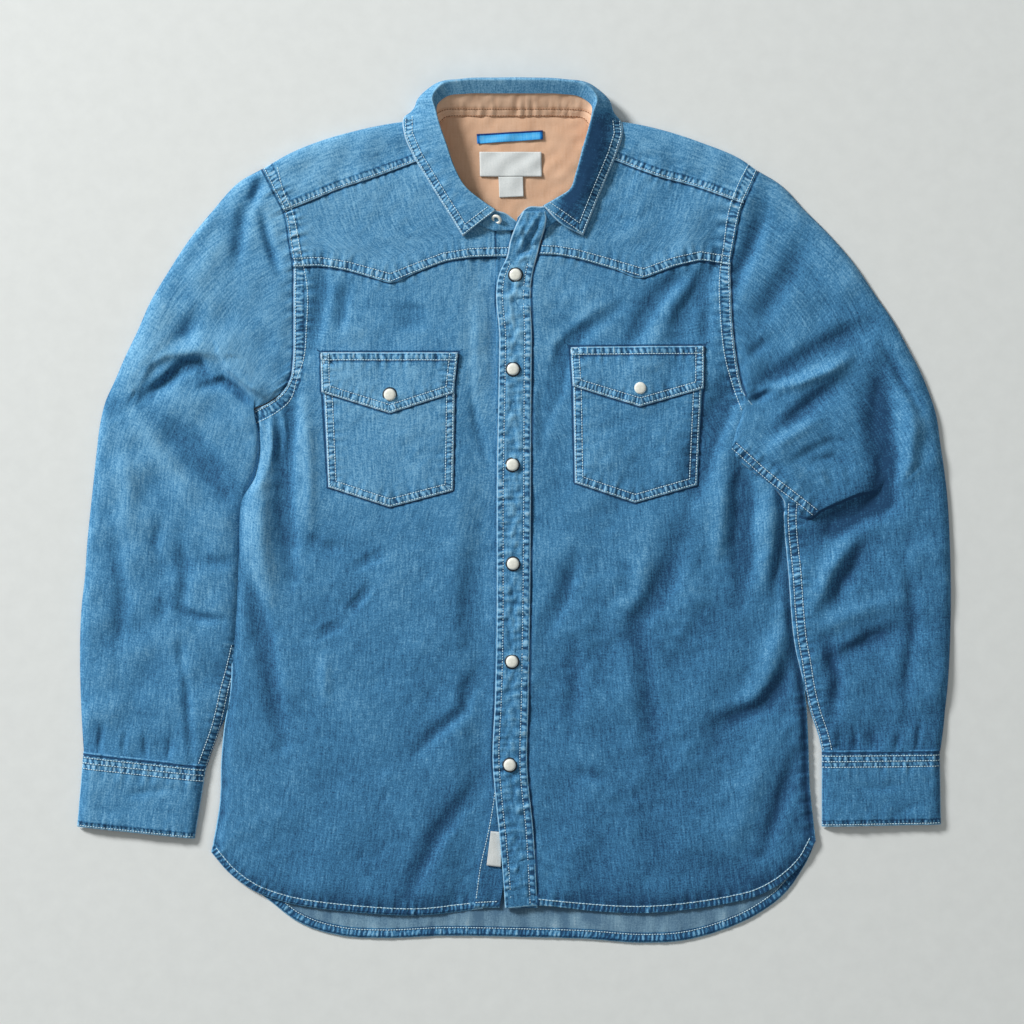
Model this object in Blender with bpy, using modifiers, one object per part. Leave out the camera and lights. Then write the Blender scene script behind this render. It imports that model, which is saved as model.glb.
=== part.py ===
"""A denim western shirt, fastened and laid flat on its back.

The tables are in millimetres: x runs to the wearer's left, y to the collar and z up from
the surface that the shirt lies on. The origin is the middle of the shirt's footprint.
Each cut piece is a layer of cloth with its own thickness, and what lies on another piece
is laid over that piece's own faces.
"""

import bpy
import bmesh
import numpy as np
from mathutils import Vector
from mathutils.bvhtree import BVHTree

MM = 0.001

# Driving sizes, in millimetres
WALL = 1.2  # one layer of denim with its seam turnings
CUFF_WALL = 1.6  # two layers and an interlining
COLLAR_WALL = 1.6
LABEL_WALL = 1.0
GAP = 0.3  # between a piece and what it lies on
SEAM_GAP = 0.7  # between pieces that are sewn edge to edge
BODY_HEIGHT = 6.4  # top of the fronts over the flat back
LOWEST_FRONT = 2.9  # top of a front that is pressed onto the back
UNDERLAP_DROP = 3.7  # how far the right front dips under the left one
SLEEVE_HEIGHT = 7.2
EDGE_HEIGHT = 1.9  # middle of the turned edge of a flattened tube
EDGE_REACH = 4.0  # how fast a tube's edge rounds up to its full height
TUBE_LEAST = 2 * WALL + GAP  # least height of a flattened tube
TUBE_OUTER = (1.2, 4.5, 12, 26)  # where a tube's points lie near its edges, in from each
TUBE_INNER = (1.2, 4.5, 10, 18, 27, 38)
TUBE_LOW_OUTER = (1.5, 8, 26)
TUBE_LOW_INNER = (1.5, 7, 15, 24, 33, 42, 51)
FLAP_REACH = 16
SNAP_RADIUS = 5.6
SNAP_HEIGHT = 3.4
RING_RADIUS = 5.0
RING_BORE = 2.2
RING_HEIGHT = 1.6

# The body's side edges: y, x
RIGHT_SIDE = (
    (-307, -273),
    (-292, -270),
    (-259, -265),
    (-225, -264),
    (-190, -260.6),
    (-164, -256),
    (-117, -254),
    (-87, -252),
    (-35, -250),
    (-10, -249.5),
    (14, -245),
    (33, -234.5),
    (46, -232),
    (68, -232),
    (79, -233.5),
)
LEFT_SIDE = (
    (-297, 272),
    (-250, 267),
    (-198, 265),
    (-173, 263.6),
    (-147, 260),
    (-115, 254),
    (-82, 251),
    (-42, 248),
    (-10, 246),
    (20, 242),
    (50, 238),
    (78, 235.5),
)

# The armholes from the shoulder to the underarm: x, y
RIGHT_ARMHOLE = (
    (-226.5, 309),
    (-216.5, 289),
    (-207, 270),
    (-201.6, 241),
    (-198.4, 220),
    (-198.4, 199),
    (-198.4, 165),
    (-199, 135),
    (-201, 121),
    (-209, 107),
    (-222, 97),
    (-234.5, 91),
)
LEFT_ARMHOLE = (
    (219.5, 307),
    (212.7, 292),
    (206, 277),
    (198.5, 244),
    (195, 222),
    (195.5, 195),
    (197, 165),
    (200, 140),
    (203, 122),
    (207, 107),
    (216, 95),
    (236, 84),
)

# Hems: x, y
BACK_HEM = (
    (-273, -307),
    (-256, -324),
    (-240, -336),
    (-217, -354),
    (-199, -368),
    (-176, -378),
    (-154, -383),
    (-115, -385),
    (-67, -383),
    (5, -384),
    (70, -386),
    (111, -389),
    (153, -387),
    (194, -375.5),
    (225, -360),
    (244, -345),
    (258, -326),
    (266, -312),
    (272, -297),
)
RIGHT_HEM = (
    (-273, -307),
    (-256, -326.5),
    (-236, -341),
    (-207, -352),
    (-174, -358),
    (-135, -362),
    (-86, -364),
    (-39, -359.5),
    (-13, -358),
)
LEFT_HEM = (
    (-6, -358),
    (21.5, -355),
    (70, -360),
    (111, -362),
    (163, -358),
    (194, -353),
    (221, -346),
    (246, -331),
    (262, -315),
    (272, -297),
)

# Shoulder folds and forward seams, from the armhole to the neck: x, y
RIGHT_SHOULDER = ((-226.5, 309), (-200, 324), (-175, 334), (-144, 343), (-99, 351.5), (-72, 353.5))
LEFT_SHOULDER = ((219.5, 307), (208, 315.5), (168, 333), (137.5, 343), (97, 351.5), (72, 353.5))
RIGHT_FORWARD = ((-207, 270), (-182, 280), (-158, 290), (-134, 298), (-87.5, 315), (-71, 321))
LEFT_FORWARD = ((206, 277), (184, 285), (160, 293.5), (128, 302), (91, 316), (72, 322))

# Section of the yoke over a shoulder: distance in from the fold, height
SHOULDER_SECTION = ((4, 0), (1, 0.7), (0, 2.8), (1.5, 5.4), (5, 7.3), (12, 8.6))

# Lower edges of the pointed yokes, from the armhole to the placket: x, y
RIGHT_POINT = ((-198.4, 220), (-175, 221), (-150, 217), (-129, 211), (-111, 206))
RIGHT_POINT_IN = ((-111, 206), (-86, 216), (-62, 225), (-38, 229), (-17, 229.5))
LEFT_POINT = ((195, 222), (168, 226), (144, 220.5), (128, 214.5), (116.5, 210.5))
LEFT_POINT_IN = ((116.5, 210.5), (88, 219), (55.5, 228), (38, 231), (22.5, 231.5))

# Front edges: y, x
PLACKET_LEFT = (
    (-357, -8),
    (-339, -9),
    (-292, -13),
    (-253, -17),
    (-227, -19),
    (-170, -17),
    (-135, -16),
    (42, -15),
    (154, -13),
    (216, -12.4),
    (229, -6.5),
    (252, -1),
)
PLACKET_RIGHT = (
    (-355, 21),
    (-284, 17),
    (-234, 12),
    (-170, 13),
    (-80, 14.4),
    (154, 16),
    (216, 17),
    (231, 21),
    (252, 27),
)
UNDERLAP_LEFT = ((-352, -36), (-322, -32), (-284, -23.6), (-246, -18), (-200, -17.5), (252, -15.5))
UNDERLAP_RIGHT = ((-357, -13), (-300, -3), (-246, 7), (-200, 11), (252, 12))

# y of the plackets' cross lines
PLACKET_ROWS = (
    *(-356, -338, -320, -300, -280, -258, -236, -214, -192, -170, -140, -110, -80, -50),
    *(-20, 10, 40, 70, 100, 130, 160, 190, 205, 217, 230, 241, 252),
)
# Where a front's points lie across it, from the side edge
COLUMN_SHARES = (0, 0.022, 0.06, 0.12, 0.2, 0.28, 0.36, 0.44, 0.52, 0.6, 0.68, 0.76, 0.84, 0.92, 1)
UNDERLAP_HOLD = 8  # how far a front runs under its placket
PLACKET_HOLD = 3
UNDER_YOKE = 9  # how far a front runs up under its yoke
UNDER_SHOULDER = 6  # how far a front yoke runs under the back yoke's shoulder

# Inner edges of the front yokes, up the placket and round the neck: x, y
RIGHT_NECK = (
    (-17, 229.5),
    (-17, 240),
    (-17.5, 250),
    (-30, 255),
    (-45, 267),
    (-55.5, 287),
    (-62, 308),
    (-65.5, 325),
)
LEFT_NECK = (
    (22.5, 231.5),
    (25, 241),
    (28.5, 252),
    (40, 260),
    (49.5, 272),
    (57.5, 290),
    (62.5, 309),
    (66, 326),
)

# Snaps on the front placket: x, y
PLACKET_SNAPS = ((1.3, 213), (-0.9, 128), (-1.4, 42), (-0.9, -47), (-1.8, -135), (-3.8, -228))

# Pockets: outer and inner x at the top and bottom, the point's x, and the y of each
POCKETS = {
    "right": {
        "top": ((-172, 137), (-53, 137)),
        "bottom": ((-167, 22), (-111.6, 4), (-55, 19)),
        "flap_top": ((-174, 143), (-50.5, 143)),
        "flap_bottom": ((-173, 107.5), (-111.6, 88.5), (-54.5, 107)),
        "snap": (-111.6, 105),
    },
    "left": {
        "top": ((53, 142), (170, 142)),
        "bottom": ((55, 26), (109, 8), (165, 24)),
        "flap_top": ((51, 148), (171, 149)),
        "flap_bottom": ((53, 113), (113.4, 94.6), (170.5, 111)),
        "snap": (113.4, 111),
    },
}

# Sleeve rings from the shoulder to the cuff: outer x, y, inner x, y, and the share of the
# armhole's bow that the ring has
RIGHT_SLEEVE = (
    (-227, 309.3, -209, 107, 1),
    (-248, 297, -222, 98.3, 0.9),
    (-272, 271, -235.5, 92, 0.77),
    (-293, 245, -235.8, 85, 0.65),
    (-312, 216, -234, 78, 0.54),
    (-328, 189, -232.8, 70, 0.44),
    (-339.5, 163, -232.2, 62, 0.35),
    (-351, 139, -232.2, 53, 0.26),
    (-360, 118, -233.2, 41, 0.18),
    (-368.5, 99, -237.6, 27, 0.1),
    (-373.5, 78, -245.2, 13, 0.04),
    (-376.5, 54, -249, -2, 0),
    (-379, 30, -249.6, -20, 0),
    (-382, 2, -250.2, -42, 0),
    (-385, -28, -251.3, -66, 0),
    (-387, -58, -252.2, -90, 0),
    (-390, -85, -253.8, -114, 0),
    (-391.3, -110, -254.8, -138, 0),
    (-391.5, -137, -255.8, -160, 0),
    (-391, -162, -259, -181, 0),
    (-390, -186, -266, -198.5, 0),
    (-389, -203, -271.5, -214, 0),
    (-388, -218, -277, -230, 0),
)
LEFT_SLEEVE = (
    (220, 307.3, 207, 107, 1),
    (240, 295, 206.9, 103.5, 0.8),
    (262, 272, 206.4, 100, 0.6),
    (283, 251, 205.6, 95.5, 0.4),
    (304, 227, 204.2, 88, 0.2),
    (326, 195, 201.5, 76, 0.08),
    (343, 170, 199, 64, 0),
    (355, 148, 195, 54, 0),
    (366, 127, 206, 44.5, 0),
    (374, 108, 218.5, 34.5, 0),
    (381, 86, 231, 24, 0),
    (384.5, 62, 241, 16, 0),
    (388, 38, 249.5, 7.5, 0),
    (391, 12, 247.4, -6, 0),
    (392.5, -12, 247.2, -22, 0),
    (393.5, -38, 248.6, -42, 0),
    (394, -64, 250.6, -66, 0),
    (394, -90, 252.2, -90, 0),
    (393.5, -114, 254.6, -114, 0),
    (392.5, -138, 258.8, -138, 0),
    (391, -160, 262.4, -160, 0),
    (389, -178, 267.5, -181, 0),
    (387, -198, 274.5, -202, 0),
    (384.5, -216, 278, -217, 0),
)
# Where the left sleeve's fold lies over the body: y from, to
FLAP = (2, 118)

# Cuffs: corners, from the outer one at the sleeve round to the inner one: x, y
RIGHT_CUFF = {"top": ((-388.5, -218.4), (-277.5, -230.4)), "bottom": ((-394, -284), (-288, -295))}
LEFT_CUFF = {"top": ((384, -216.4), (277.5, -217.4)), "bottom": ((385, -282), (277.5, -284))}
CUFF_HEIGHT = 6.6

# Folds: height (under 0 for a trough), width on each side of the path (left, right, as it
# is walked), and the path
BODY_FOLDS = (
    (-8, 26, 26, ((214, 112), (208, 80), (222, 46), (244, 18))),
    (4.2, 14, 15, ((-226, 74), (-229, 20), (-228, -30), (-221, -75))),
    (-3.4, 9, 12, ((-190, 118), (-197, 60), (-198, 0), (-196, -60))),
    (2.6, 8, 8, ((-187, 100), (-184, 60), (-184, 20), (-188, -20))),
    (-2.6, 8, 10, ((-171, 212), (-174, 180), (-182, 145))),
    (-2.2, 10, 9, ((-238, -55), (-228, -90), (-218, -140), (-208, -205))),
    (-1.8, 8, 8, ((-20, -138), (-43, -172), (-66, -196), (-90, -218))),
    (-2.8, 12, 9, ((-20, -236), (-52, -268), (-70, -292), (-92, -341))),
    (-3.4, 10, 9, ((162, 212), (140, 192), (120, 168), (112, 150))),
    (-3.2, 9, 8, ((184, 218), (170, 195), (157, 176), (152, 156))),
    (-3.2, 11, 9, ((92, 178), (62, 156), (46, 128), (28, 66))),
    (-4.0, 13, 11, ((203, 118), (186, 72), (172, 30), (160, -10))),
    (-2.8, 9, 9, ((160, -10), (140, -66), (115, -104), (124, -170), (131, -228))),
    (-3.8, 11, 11, ((205, 40), (210, 5), (210, -45), (205, -85))),
    (2.4, 9, 9, ((190, 30), (186, -10), (182, -50))),
    (2.4, 9, 9, ((230, 20), (230, -30), (226, -70))),
    (-2.6, 8, 8, ((248, -136), (236, -166), (210, -185), (186, -193))),
    (2.2, 10, 10, ((243, -96), (226, -150), (196, -172))),
    (-2.2, 8, 8, ((252, -222), (242, -254), (228, -304))),
    (1.8, 12, 12, ((228, -206), (208, -268), (192, -308))),
    (-1.8, 8, 8, ((56, -44), (40, -92), (28, -118))),
)
RIGHT_SLEEVE_FOLDS = (
    (5.5, 15, 6, ((-331, 104), (-314, 130), (-294, 142), (-264, 143), (-240, 128))),
    (-3.2, 8, 8, ((-309, 111), (-284, 123), (-268, 130))),
    (4.0, 7, 4, ((-280, 113), (-268, 122), (-256, 120), (-240, 104))),
    (-2.8, 9, 8, ((-286, 182), (-306, 152), (-336, 120))),
    (-3.2, 9, 9, ((-338, 66), (-312, 50), (-280, 22), (-248, 6))),
    (-2.4, 6, 6, ((-232, 292), (-244, 258), (-252, 226))),
    (-2.0, 5, 5, ((-226, 268), (-219, 240), (-212, 214))),
    (-2.0, 6, 6, ((-302, -86), (-284, -95), (-262, -98))),
    (-1.8, 6, 6, ((-296, -140), (-294, -175), (-290, -215))),
)
LEFT_SLEEVE_FOLDS = (
    (-3.4, 8, 8, ((228, 268), (214, 235), (204, 200))),
    (-2.4, 11, 11, ((262, 238), (246, 208), (220, 170))),
    (-3.2, 11, 9, ((328, 172), (296, 157), (262, 138), (226, 114))),
    (3.4, 6, 6, ((219, 110), (256, 117), (298, 137))),
    (-3.2, 8, 8, ((300, 120), (266, 94), (238, 70))),
    (4.6, 26, 26, ((222, 58), (262, 60), (318, 56))),
    (4.6, 9, 9, ((352, 108), (360, 72), (357, 40), (346, 6))),
    (-3.4, 9, 9, ((332, 112), (333, 80), (339, 45), (330, 6))),
    (-3.6, 14, 14, ((338, -4), (306, -12), (276, -22))),
    (3.2, 9, 9, ((303, -28), (285, -52), (272, -84))),
    (-3.2, 10, 9, ((324, -30), (304, -58), (282, -90))),
    (-2.6, 8, 8, ((340, -106), (318, -118), (288, -134))),
    (-2.4, 6, 6, ((284, -116), (292, -150), (290, -182))),
)

# The collar, from the right front round the back of the neck to the left front. Each row:
# crest x, y, z; bulge x, y, z; outer edge x, y, z; neck seam x, y, z
COLLAR = (
    (-16, 270.5, 13, -31, 259.5, 13.2, -46, 247.5, 10.4, -17, 252.5, 8.2),
    (-28, 278.5, 14.5, -41, 271.5, 14.5, -56, 264, 10.4, -31, 258, 8.4),
    (-44, 292, 17, -55, 286.5, 15.5, -67, 281, 10.4, -47, 270, 8.4),
    (-53.5, 309, 19, -65, 304, 16.5, -78, 299, 10.4, -58, 289, 8.4),
    (-60, 328, 20.5, -75, 322, 17, -89.5, 318, 10.6, -65, 312, 8.0),
    (-66, 345, 21.5, -82, 341, 16.5, -98.6, 339, 11.2, -68, 334, 7.0),
    (-70, 359, 22, -86, 360, 14, -98.5, 355.5, 7.5, -67, 348, 5.2),
    (-73, 371, 22, -87, 370, 11, -84, 362, 0.3, -62, 354, 4.4),
    (-66, 382, 21.5, -72, 383.5, 10, -66, 366, 0.3, -52, 355.5, 4.2),
    (-46, 386.5, 21, -47, 388.6, 10, -46, 364, 0.3, -38, 355.5, 4.2),
    (-16, 387, 20.5, -16, 389.9, 10, -16, 362, 0.3, -13, 355.5, 4.2),
    (16, 387, 20.5, 16, 389.9, 10, 16, 362, 0.3, 13, 355.5, 4.2),
    (44, 386.2, 21, 44.5, 388.4, 10, 44, 364, 0.3, 38, 355.5, 4.2),
    (66, 381, 21.5, 71, 382.8, 10, 66, 366, 0.3, 52, 355, 4.2),
    (74, 370, 22, 86, 369, 11, 84, 362, 0.3, 62, 353.5, 4.4),
    (70, 356, 22, 86, 355, 14, 96, 352, 6.5, 67, 347, 5.2),
    (66.5, 343, 21.5, 82, 340, 16.5, 97.4, 339, 10.2, 68, 333, 7.0),
    (61.5, 326, 20.5, 76, 322, 17, 91.5, 320, 10.6, 65, 311, 8.0),
    (55.5, 304, 19, 70, 302, 16.5, 84, 302, 10.4, 60, 291, 8.4),
    (50, 289, 17.5, 63, 285, 16, 76, 283, 10.4, 52, 274, 9.0),
    (39, 281.5, 16, 53, 274, 15.5, 69, 265.5, 11.2, 41, 263, 9.8),
    (26, 274, 15, 41.5, 258.5, 14.8, 62, 248, 11.6, 26, 254.5, 10.4),
)
LIP_SHARE = 0.31  # how far the fall reaches down the inside, from crest to neck seam
STAND_TOP_SHARE = 0.35

# The stand's ends past the collar: top x, y, z; seam x, y, z
STAND_RIGHT_END = ((3.5, 260, 8.3, 2, 253, 8.0), (-8, 268, 10.6, -9, 252.8, 8.2))
STAND_LEFT_END = ((13, 273, 13.6, 14, 254.5, 10.8), (3.4, 264, 12.8, 1, 254, 10.8))

# Small pieces in the neck and at the hem: corners, from the lower left, round: x, y
SMALL_SHEETS = {
    "hanger_loop": ((-33, 331.5), (26, 335.5), (25.8, 343.5), (-33.5, 340)),
    "neck_label": ((-30.5, 302), (25, 302), (24.6, 324), (-31, 324)),
    "size_label": ((-13, 283), (8.5, 284), (8, 301.5), (-13.8, 301.5)),
}
HEM_TAG = ((-24.5, -318.5), (-15.5, -320), (-14.6, -289), (-20.8, -288))
LINING = {"left": -70, "right": 70, "low": 240.5, "high": 353}
YOKE_SEAM = 246  # where the back yoke meets the back panel
NECK_RING = (-15.5, 262.5)

COLOURS = {
    "denim": (0.075, 0.21, 0.39),
    "denim_light": (0.11, 0.27, 0.46),
    "tan": (0.60, 0.36, 0.21),
    "pearl": (0.82, 0.79, 0.70),
    "tape": (0.01, 0.17, 0.57),
    "label": (0.80, 0.82, 0.80),
}
ROUGHNESS = {"denim": 0.9, "denim_light": 0.9, "tan": 0.85, "pearl": 0.25, "tape": 0.6, "label": 0.8}


def cubic(knots, values, at):
    """Values at the places `at` on a smooth line through the knots."""
    knots = np.asarray(knots, float)
    values = np.asarray(values, float)
    flat = values.ndim == 1
    if flat:
        values = values[:, None]
    steps = np.diff(knots)[:, None]
    rates = np.diff(values, axis=0) / steps
    slopes = np.empty_like(values)
    slopes[0] = rates[0]
    slopes[-1] = rates[-1]
    slopes[1:-1] = (rates[:-1] * steps[1:] + rates[1:] * steps[:-1]) / (steps[1:] + steps[:-1])
    shape = np.shape(at)
    place = np.clip(np.ravel(at), knots[0], knots[-1])
    cell = np.clip(np.searchsorted(knots, place, side="right") - 1, 0, len(knots) - 2)
    step = steps[cell]
    share = (place - knots[cell])[:, None] / step
    rest = 1 - share
    result = (
        (1 + 2 * share) * rest**2 * values[cell]
        + share * rest**2 * step * slopes[cell]
        + share**2 * (3 - 2 * share) * values[cell + 1]
        - share**2 * rest * step * slopes[cell + 1]
    )
    return result.reshape(shape) if flat else result.reshape(*shape, values.shape[1])


def along(points, shares):
    """Points at these shares of a smooth line through the given points."""
    points = np.asarray(points, float)
    lengths = np.linalg.norm(np.diff(points, axis=0), axis=1)
    return cubic(np.concatenate([[0], np.cumsum(lengths)]), points, np.asarray(shares) * lengths.sum())


def shares_of(points):
    """Each point's share of the length of the line that they make."""
    lengths = np.linalg.norm(np.diff(points, axis=0), axis=1)
    return np.concatenate([[0], np.cumsum(lengths)]) / lengths.sum()


def side_at(table, y):
    """x on an edge that is given by rows of y and x."""
    table = np.asarray(table, float)
    return cubic(table[:, 0], table[:, 1], y)


def side_points(table, ys):
    return np.stack([side_at(table, ys), np.asarray(ys, float)], axis=-1)


def smooth_step(value):
    value = np.clip(value, 0, 1)
    return value * value * (3 - 2 * value)


def shifted_line(points, distance):
    """The line moved to its left by this distance, its segments kept parallel."""
    points = np.asarray(points, float)
    runs = np.diff(points, axis=0)
    runs /= np.linalg.norm(runs, axis=1)[:, None]
    normals = np.stack([-runs[:, 1], runs[:, 0]], axis=1)
    first = np.vstack([normals[:1], normals])
    second = np.vstack([normals, normals[-1:]])
    mitre = (first + second) / (1 + (first * second).sum(axis=1))[:, None]
    return points + mitre * distance


def fold_height(x, y, folds):
    """Sum of the folds at these places."""
    total = np.zeros(np.shape(x))
    for height, left_width, right_width, path in folds:
        path = np.asarray(path, float)
        lengths = np.linalg.norm(np.diff(path, axis=0), axis=1)
        starts = np.concatenate([[0], np.cumsum(lengths)])
        nearest = np.full(np.shape(x), np.inf)
        place = np.zeros(np.shape(x))
        side = np.zeros(np.shape(x))
        for index, length in enumerate(lengths):
            run = (path[index + 1] - path[index]) / length
            dx = x - path[index, 0]
            dy = y - path[index, 1]
            here = np.clip(dx * run[0] + dy * run[1], 0, length)
            away = np.hypot(dx - here * run[0], dy - here * run[1])
            closer = away < nearest
            nearest = np.where(closer, away, nearest)
            place = np.where(closer, starts[index] + here, place)
            side = np.where(closer, run[0] * dy - run[1] * dx, side)
        width = np.where(side > 0, left_width, right_width)
        share = place / starts[-1]
        ends = smooth_step(share / 0.3) * smooth_step((1 - share) / 0.3)
        total += height * (0.35 + 0.65 * ends) * np.exp(-((nearest / width) ** 2))
    return total


def pocket_mask(x, y):
    """1 away from the pockets, 0 where they lie, so that the cloth under them is even."""
    mask = np.ones(np.shape(x))
    for pocket in POCKETS.values():
        low_x, high_x = pocket["flap_top"][0][0], pocket["flap_top"][1][0]
        low_y, high_y = pocket["bottom"][1][1], pocket["flap_top"][0][1]
        outside = np.maximum(
            np.maximum(low_x - x, x - high_x),
            np.maximum(low_y - y, y - high_y),
        )
        mask = np.minimum(mask, smooth_step(outside / 12))
    return mask


def front_height(x, y):
    """Top of the fronts."""
    x = np.asarray(x, float)
    y = np.asarray(y, float)
    centre = smooth_step((60 - np.abs(x)) / 34)
    even = smooth_step((np.abs(x) - 18) / 14)
    bands = smooth_step((228 - y) / 24)
    height = BODY_HEIGHT + 0.4 * centre
    height = height + fold_height(x, y, BODY_FOLDS) * pocket_mask(x, y) * even * bands
    edge = np.minimum(x - side_at(RIGHT_SIDE, y), side_at(LEFT_SIDE, y) - x)
    low = smooth_step((92 - y) / 14)
    height = height - (height - LOWEST_FRONT) * low * np.exp(-((np.maximum(edge, 0) / 7) ** 2))
    hem = np.where(x < -8, cubic(*np.array(RIGHT_HEM).T, x), cubic(*np.array(LEFT_HEM).T, x))
    rise = np.maximum(y - hem, 0)
    height = height - (height - LOWEST_FRONT - 0.5) * (1 - centre) * np.exp(-((rise / 14) ** 2))
    least = LOWEST_FRONT + (BODY_HEIGHT - LOWEST_FRONT) * centre
    return least + np.log1p(np.exp((height - least) * 2)) / 2


def right_front_height(x, y):
    """Top of the right front, which dips under the left one."""
    under = smooth_step((np.asarray(x, float) - side_at(UNDERLAP_LEFT, y) + 38) / 28)
    return np.maximum(front_height(x, y) - UNDERLAP_DROP * under, LOWEST_FRONT)


def collection_named(name):
    made = bpy.data.collections.new(name)
    bpy.context.scene.collection.children.link(made)
    return made


def material_named(name, finish):
    made = bpy.data.materials.new(name)
    made.use_nodes = True
    shader = made.node_tree.nodes["Principled BSDF"]
    shader.inputs["Base Color"].default_value = (*COLOURS[finish], 1)
    shader.inputs["Roughness"].default_value = ROUGHNESS[finish]
    shader.inputs["Metallic"].default_value = 0
    return made


def add_grid(bm, points):
    """A grid of faces through rows by columns of points."""
    rows, columns = points.shape[:2]
    made = bmesh.ops.create_grid(bm, x_segments=columns - 1, y_segments=rows - 1, size=1)
    for vert in made["verts"]:
        column = round((vert.co.x + 1) / 2 * (columns - 1))
        row = round((vert.co.y + 1) / 2 * (rows - 1))
        vert.co = Vector(points[row, column]) * MM


def face_up(bm):
    """Turns the faces round if the highest one looks down."""
    bm.normal_update()
    highest = max(bm.faces, key=lambda face: face.calc_center_median().z)
    if highest.normal.z < 0:
        bmesh.ops.reverse_faces(bm, faces=bm.faces[:])


def object_from(bm, name, finish):
    mesh = bpy.data.meshes.new(name)
    bm.to_mesh(mesh)
    made = bpy.data.objects.new(name, mesh)
    mesh.materials.append(material_named(name, finish))
    shirt.objects.link(made)
    return made


def keep_tree(name, bm):
    """Keeps the faces, so that later pieces can lie on them."""
    trees[name] = BVHTree.FromBMesh(bm)


def laid_sheet(name, points, finish, wall=WALL):
    """A layer of cloth: its upper face is the grid, and its lower one straight below it."""
    bm = bmesh.new()
    add_grid(bm, points)
    face_up(bm)
    top = bm.faces[:]
    lower = bmesh.ops.duplicate(bm, geom=bm.verts[:] + bm.edges[:] + top)
    below = [item for item in lower["geom"] if isinstance(item, bmesh.types.BMFace)]
    moved = {vert for face in below for vert in face.verts}
    bmesh.ops.translate(bm, verts=list(moved), vec=(0, 0, -wall * MM))
    bmesh.ops.reverse_faces(bm, faces=below)
    rim = [edge for edge in bm.edges if edge.is_boundary]
    bmesh.ops.bridge_loops(bm, edges=rim)
    bmesh.ops.recalc_face_normals(bm, faces=bm.faces[:])
    made = object_from(bm, name, finish)
    keep_tree(name, bm)
    bm.free()
    return made


def hollow_sheet(name, grids, finish, wall=WALL, turn=True):
    """Cloth that turns over: the grids are its outer face, and Solidify adds the inside."""
    bm = bmesh.new()
    for points in grids:
        add_grid(bm, points)
    bmesh.ops.remove_doubles(bm, verts=bm.verts[:], dist=0.02 * MM)
    if turn:
        face_up(bm)
    made = object_from(bm, name, finish)
    keep_tree(name, bm)
    bm.free()
    layer = made.modifiers.new("layer", "SOLIDIFY")
    layer.thickness = wall * MM
    layer.offset = -1
    layer.use_even_offset = False
    return made


def lie_on(x, y, under, reach):
    """Highest point of the pieces named, within reach of each place, in millimetres."""
    ring = [(0, 0)]
    for turn in range(8):
        angle = turn * np.pi / 4
        ring.append((reach * np.cos(angle), reach * np.sin(angle)))
        ring.append((0.5 * reach * np.cos(angle), 0.5 * reach * np.sin(angle)))
    found = np.zeros(np.shape(x))
    for index in np.ndindex(np.shape(x)):
        for dx, dy in ring:
            start = Vector(((x[index] + dx) * MM, (y[index] + dy) * MM, 1))
            for name in under:
                hit = trees[name].ray_cast(start, Vector((0, 0, -1)))[0]
                if hit is not None:
                    found[index] = max(found[index], hit.z / MM)
    return found


def laid_over(plan, under, reach=4, wall=WALL, least=0):
    """The plan's points with the height of a sheet that lies on the pieces named."""
    x, y = plan[..., 0], plan[..., 1]
    z = np.maximum(lie_on(x, y, under, reach) + GAP + wall, least)
    return np.stack([x, y, z], axis=-1)


def filled(bottom, top, left, right):
    """Rows by columns of points inside four edges that share their corners."""
    across = shares_of(bottom)[None, :, None]
    up = shares_of(left)[:, None, None]
    sides = (1 - across) * left[:, None] + across * right[:, None]
    ends = (1 - up) * bottom[None] + up * top[None]
    corners = (1 - up) * ((1 - across) * bottom[0] + across * bottom[-1])
    corners = corners + up * ((1 - across) * top[0] + across * top[-1])
    return sides + ends - corners


def with_heights(plan, height):
    return np.concatenate([plan, height(plan[..., 0], plan[..., 1])[..., None]], axis=-1)


SIDE_YS = {
    "right": (-307, -298, -284, -266, -246, -225, -203, -181, -160, -138, -114, -90, -66, -42, -20)
    + (-2, 13, 27, 40, 54, 67, 79),
    "left": (-297, -284, -266, -246, -225, -203, -181, -160, -138, -114, -90, -66, -42, -22, -6)
    + (8, 24, 38, 52, 66, 78),
}


def body_edge(side):
    """The body's edge from the hem up to the shoulder: side stations, then the armhole's."""
    table = RIGHT_SIDE if side == "right" else LEFT_SIDE
    armhole = RIGHT_ARMHOLE if side == "right" else LEFT_ARMHOLE
    return np.vstack([side_points(table, SIDE_YS[side]), np.array(armhole[::-1], float)])


def stretch(edge, low, high):
    """The part of an upward edge between two heights, with its ends on the edge."""
    inside = edge[(edge[:, 1] > low + 2) & (edge[:, 1] < high - 2)]
    ends = [(np.interp(y, edge[:, 1], edge[:, 0]), y) for y in (low, high)]
    return np.vstack([ends[0], inside, ends[1]])


def back_panel():
    left = stretch(body_edge("right"), -307, YOKE_SEAM - 0.3)
    right = along(stretch(body_edge("left"), -297, YOKE_SEAM - 0.3), shares_of(left))
    columns = np.linspace(0, 1, 19)
    top = left[-1] + (right[-1] - left[-1]) * columns[:, None]
    plan = filled(along(BACK_HEM, columns), top, left, right)
    laid_sheet("back_panel", with_heights(plan, lambda x, y: np.full_like(x, WALL)), "denim")


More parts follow.
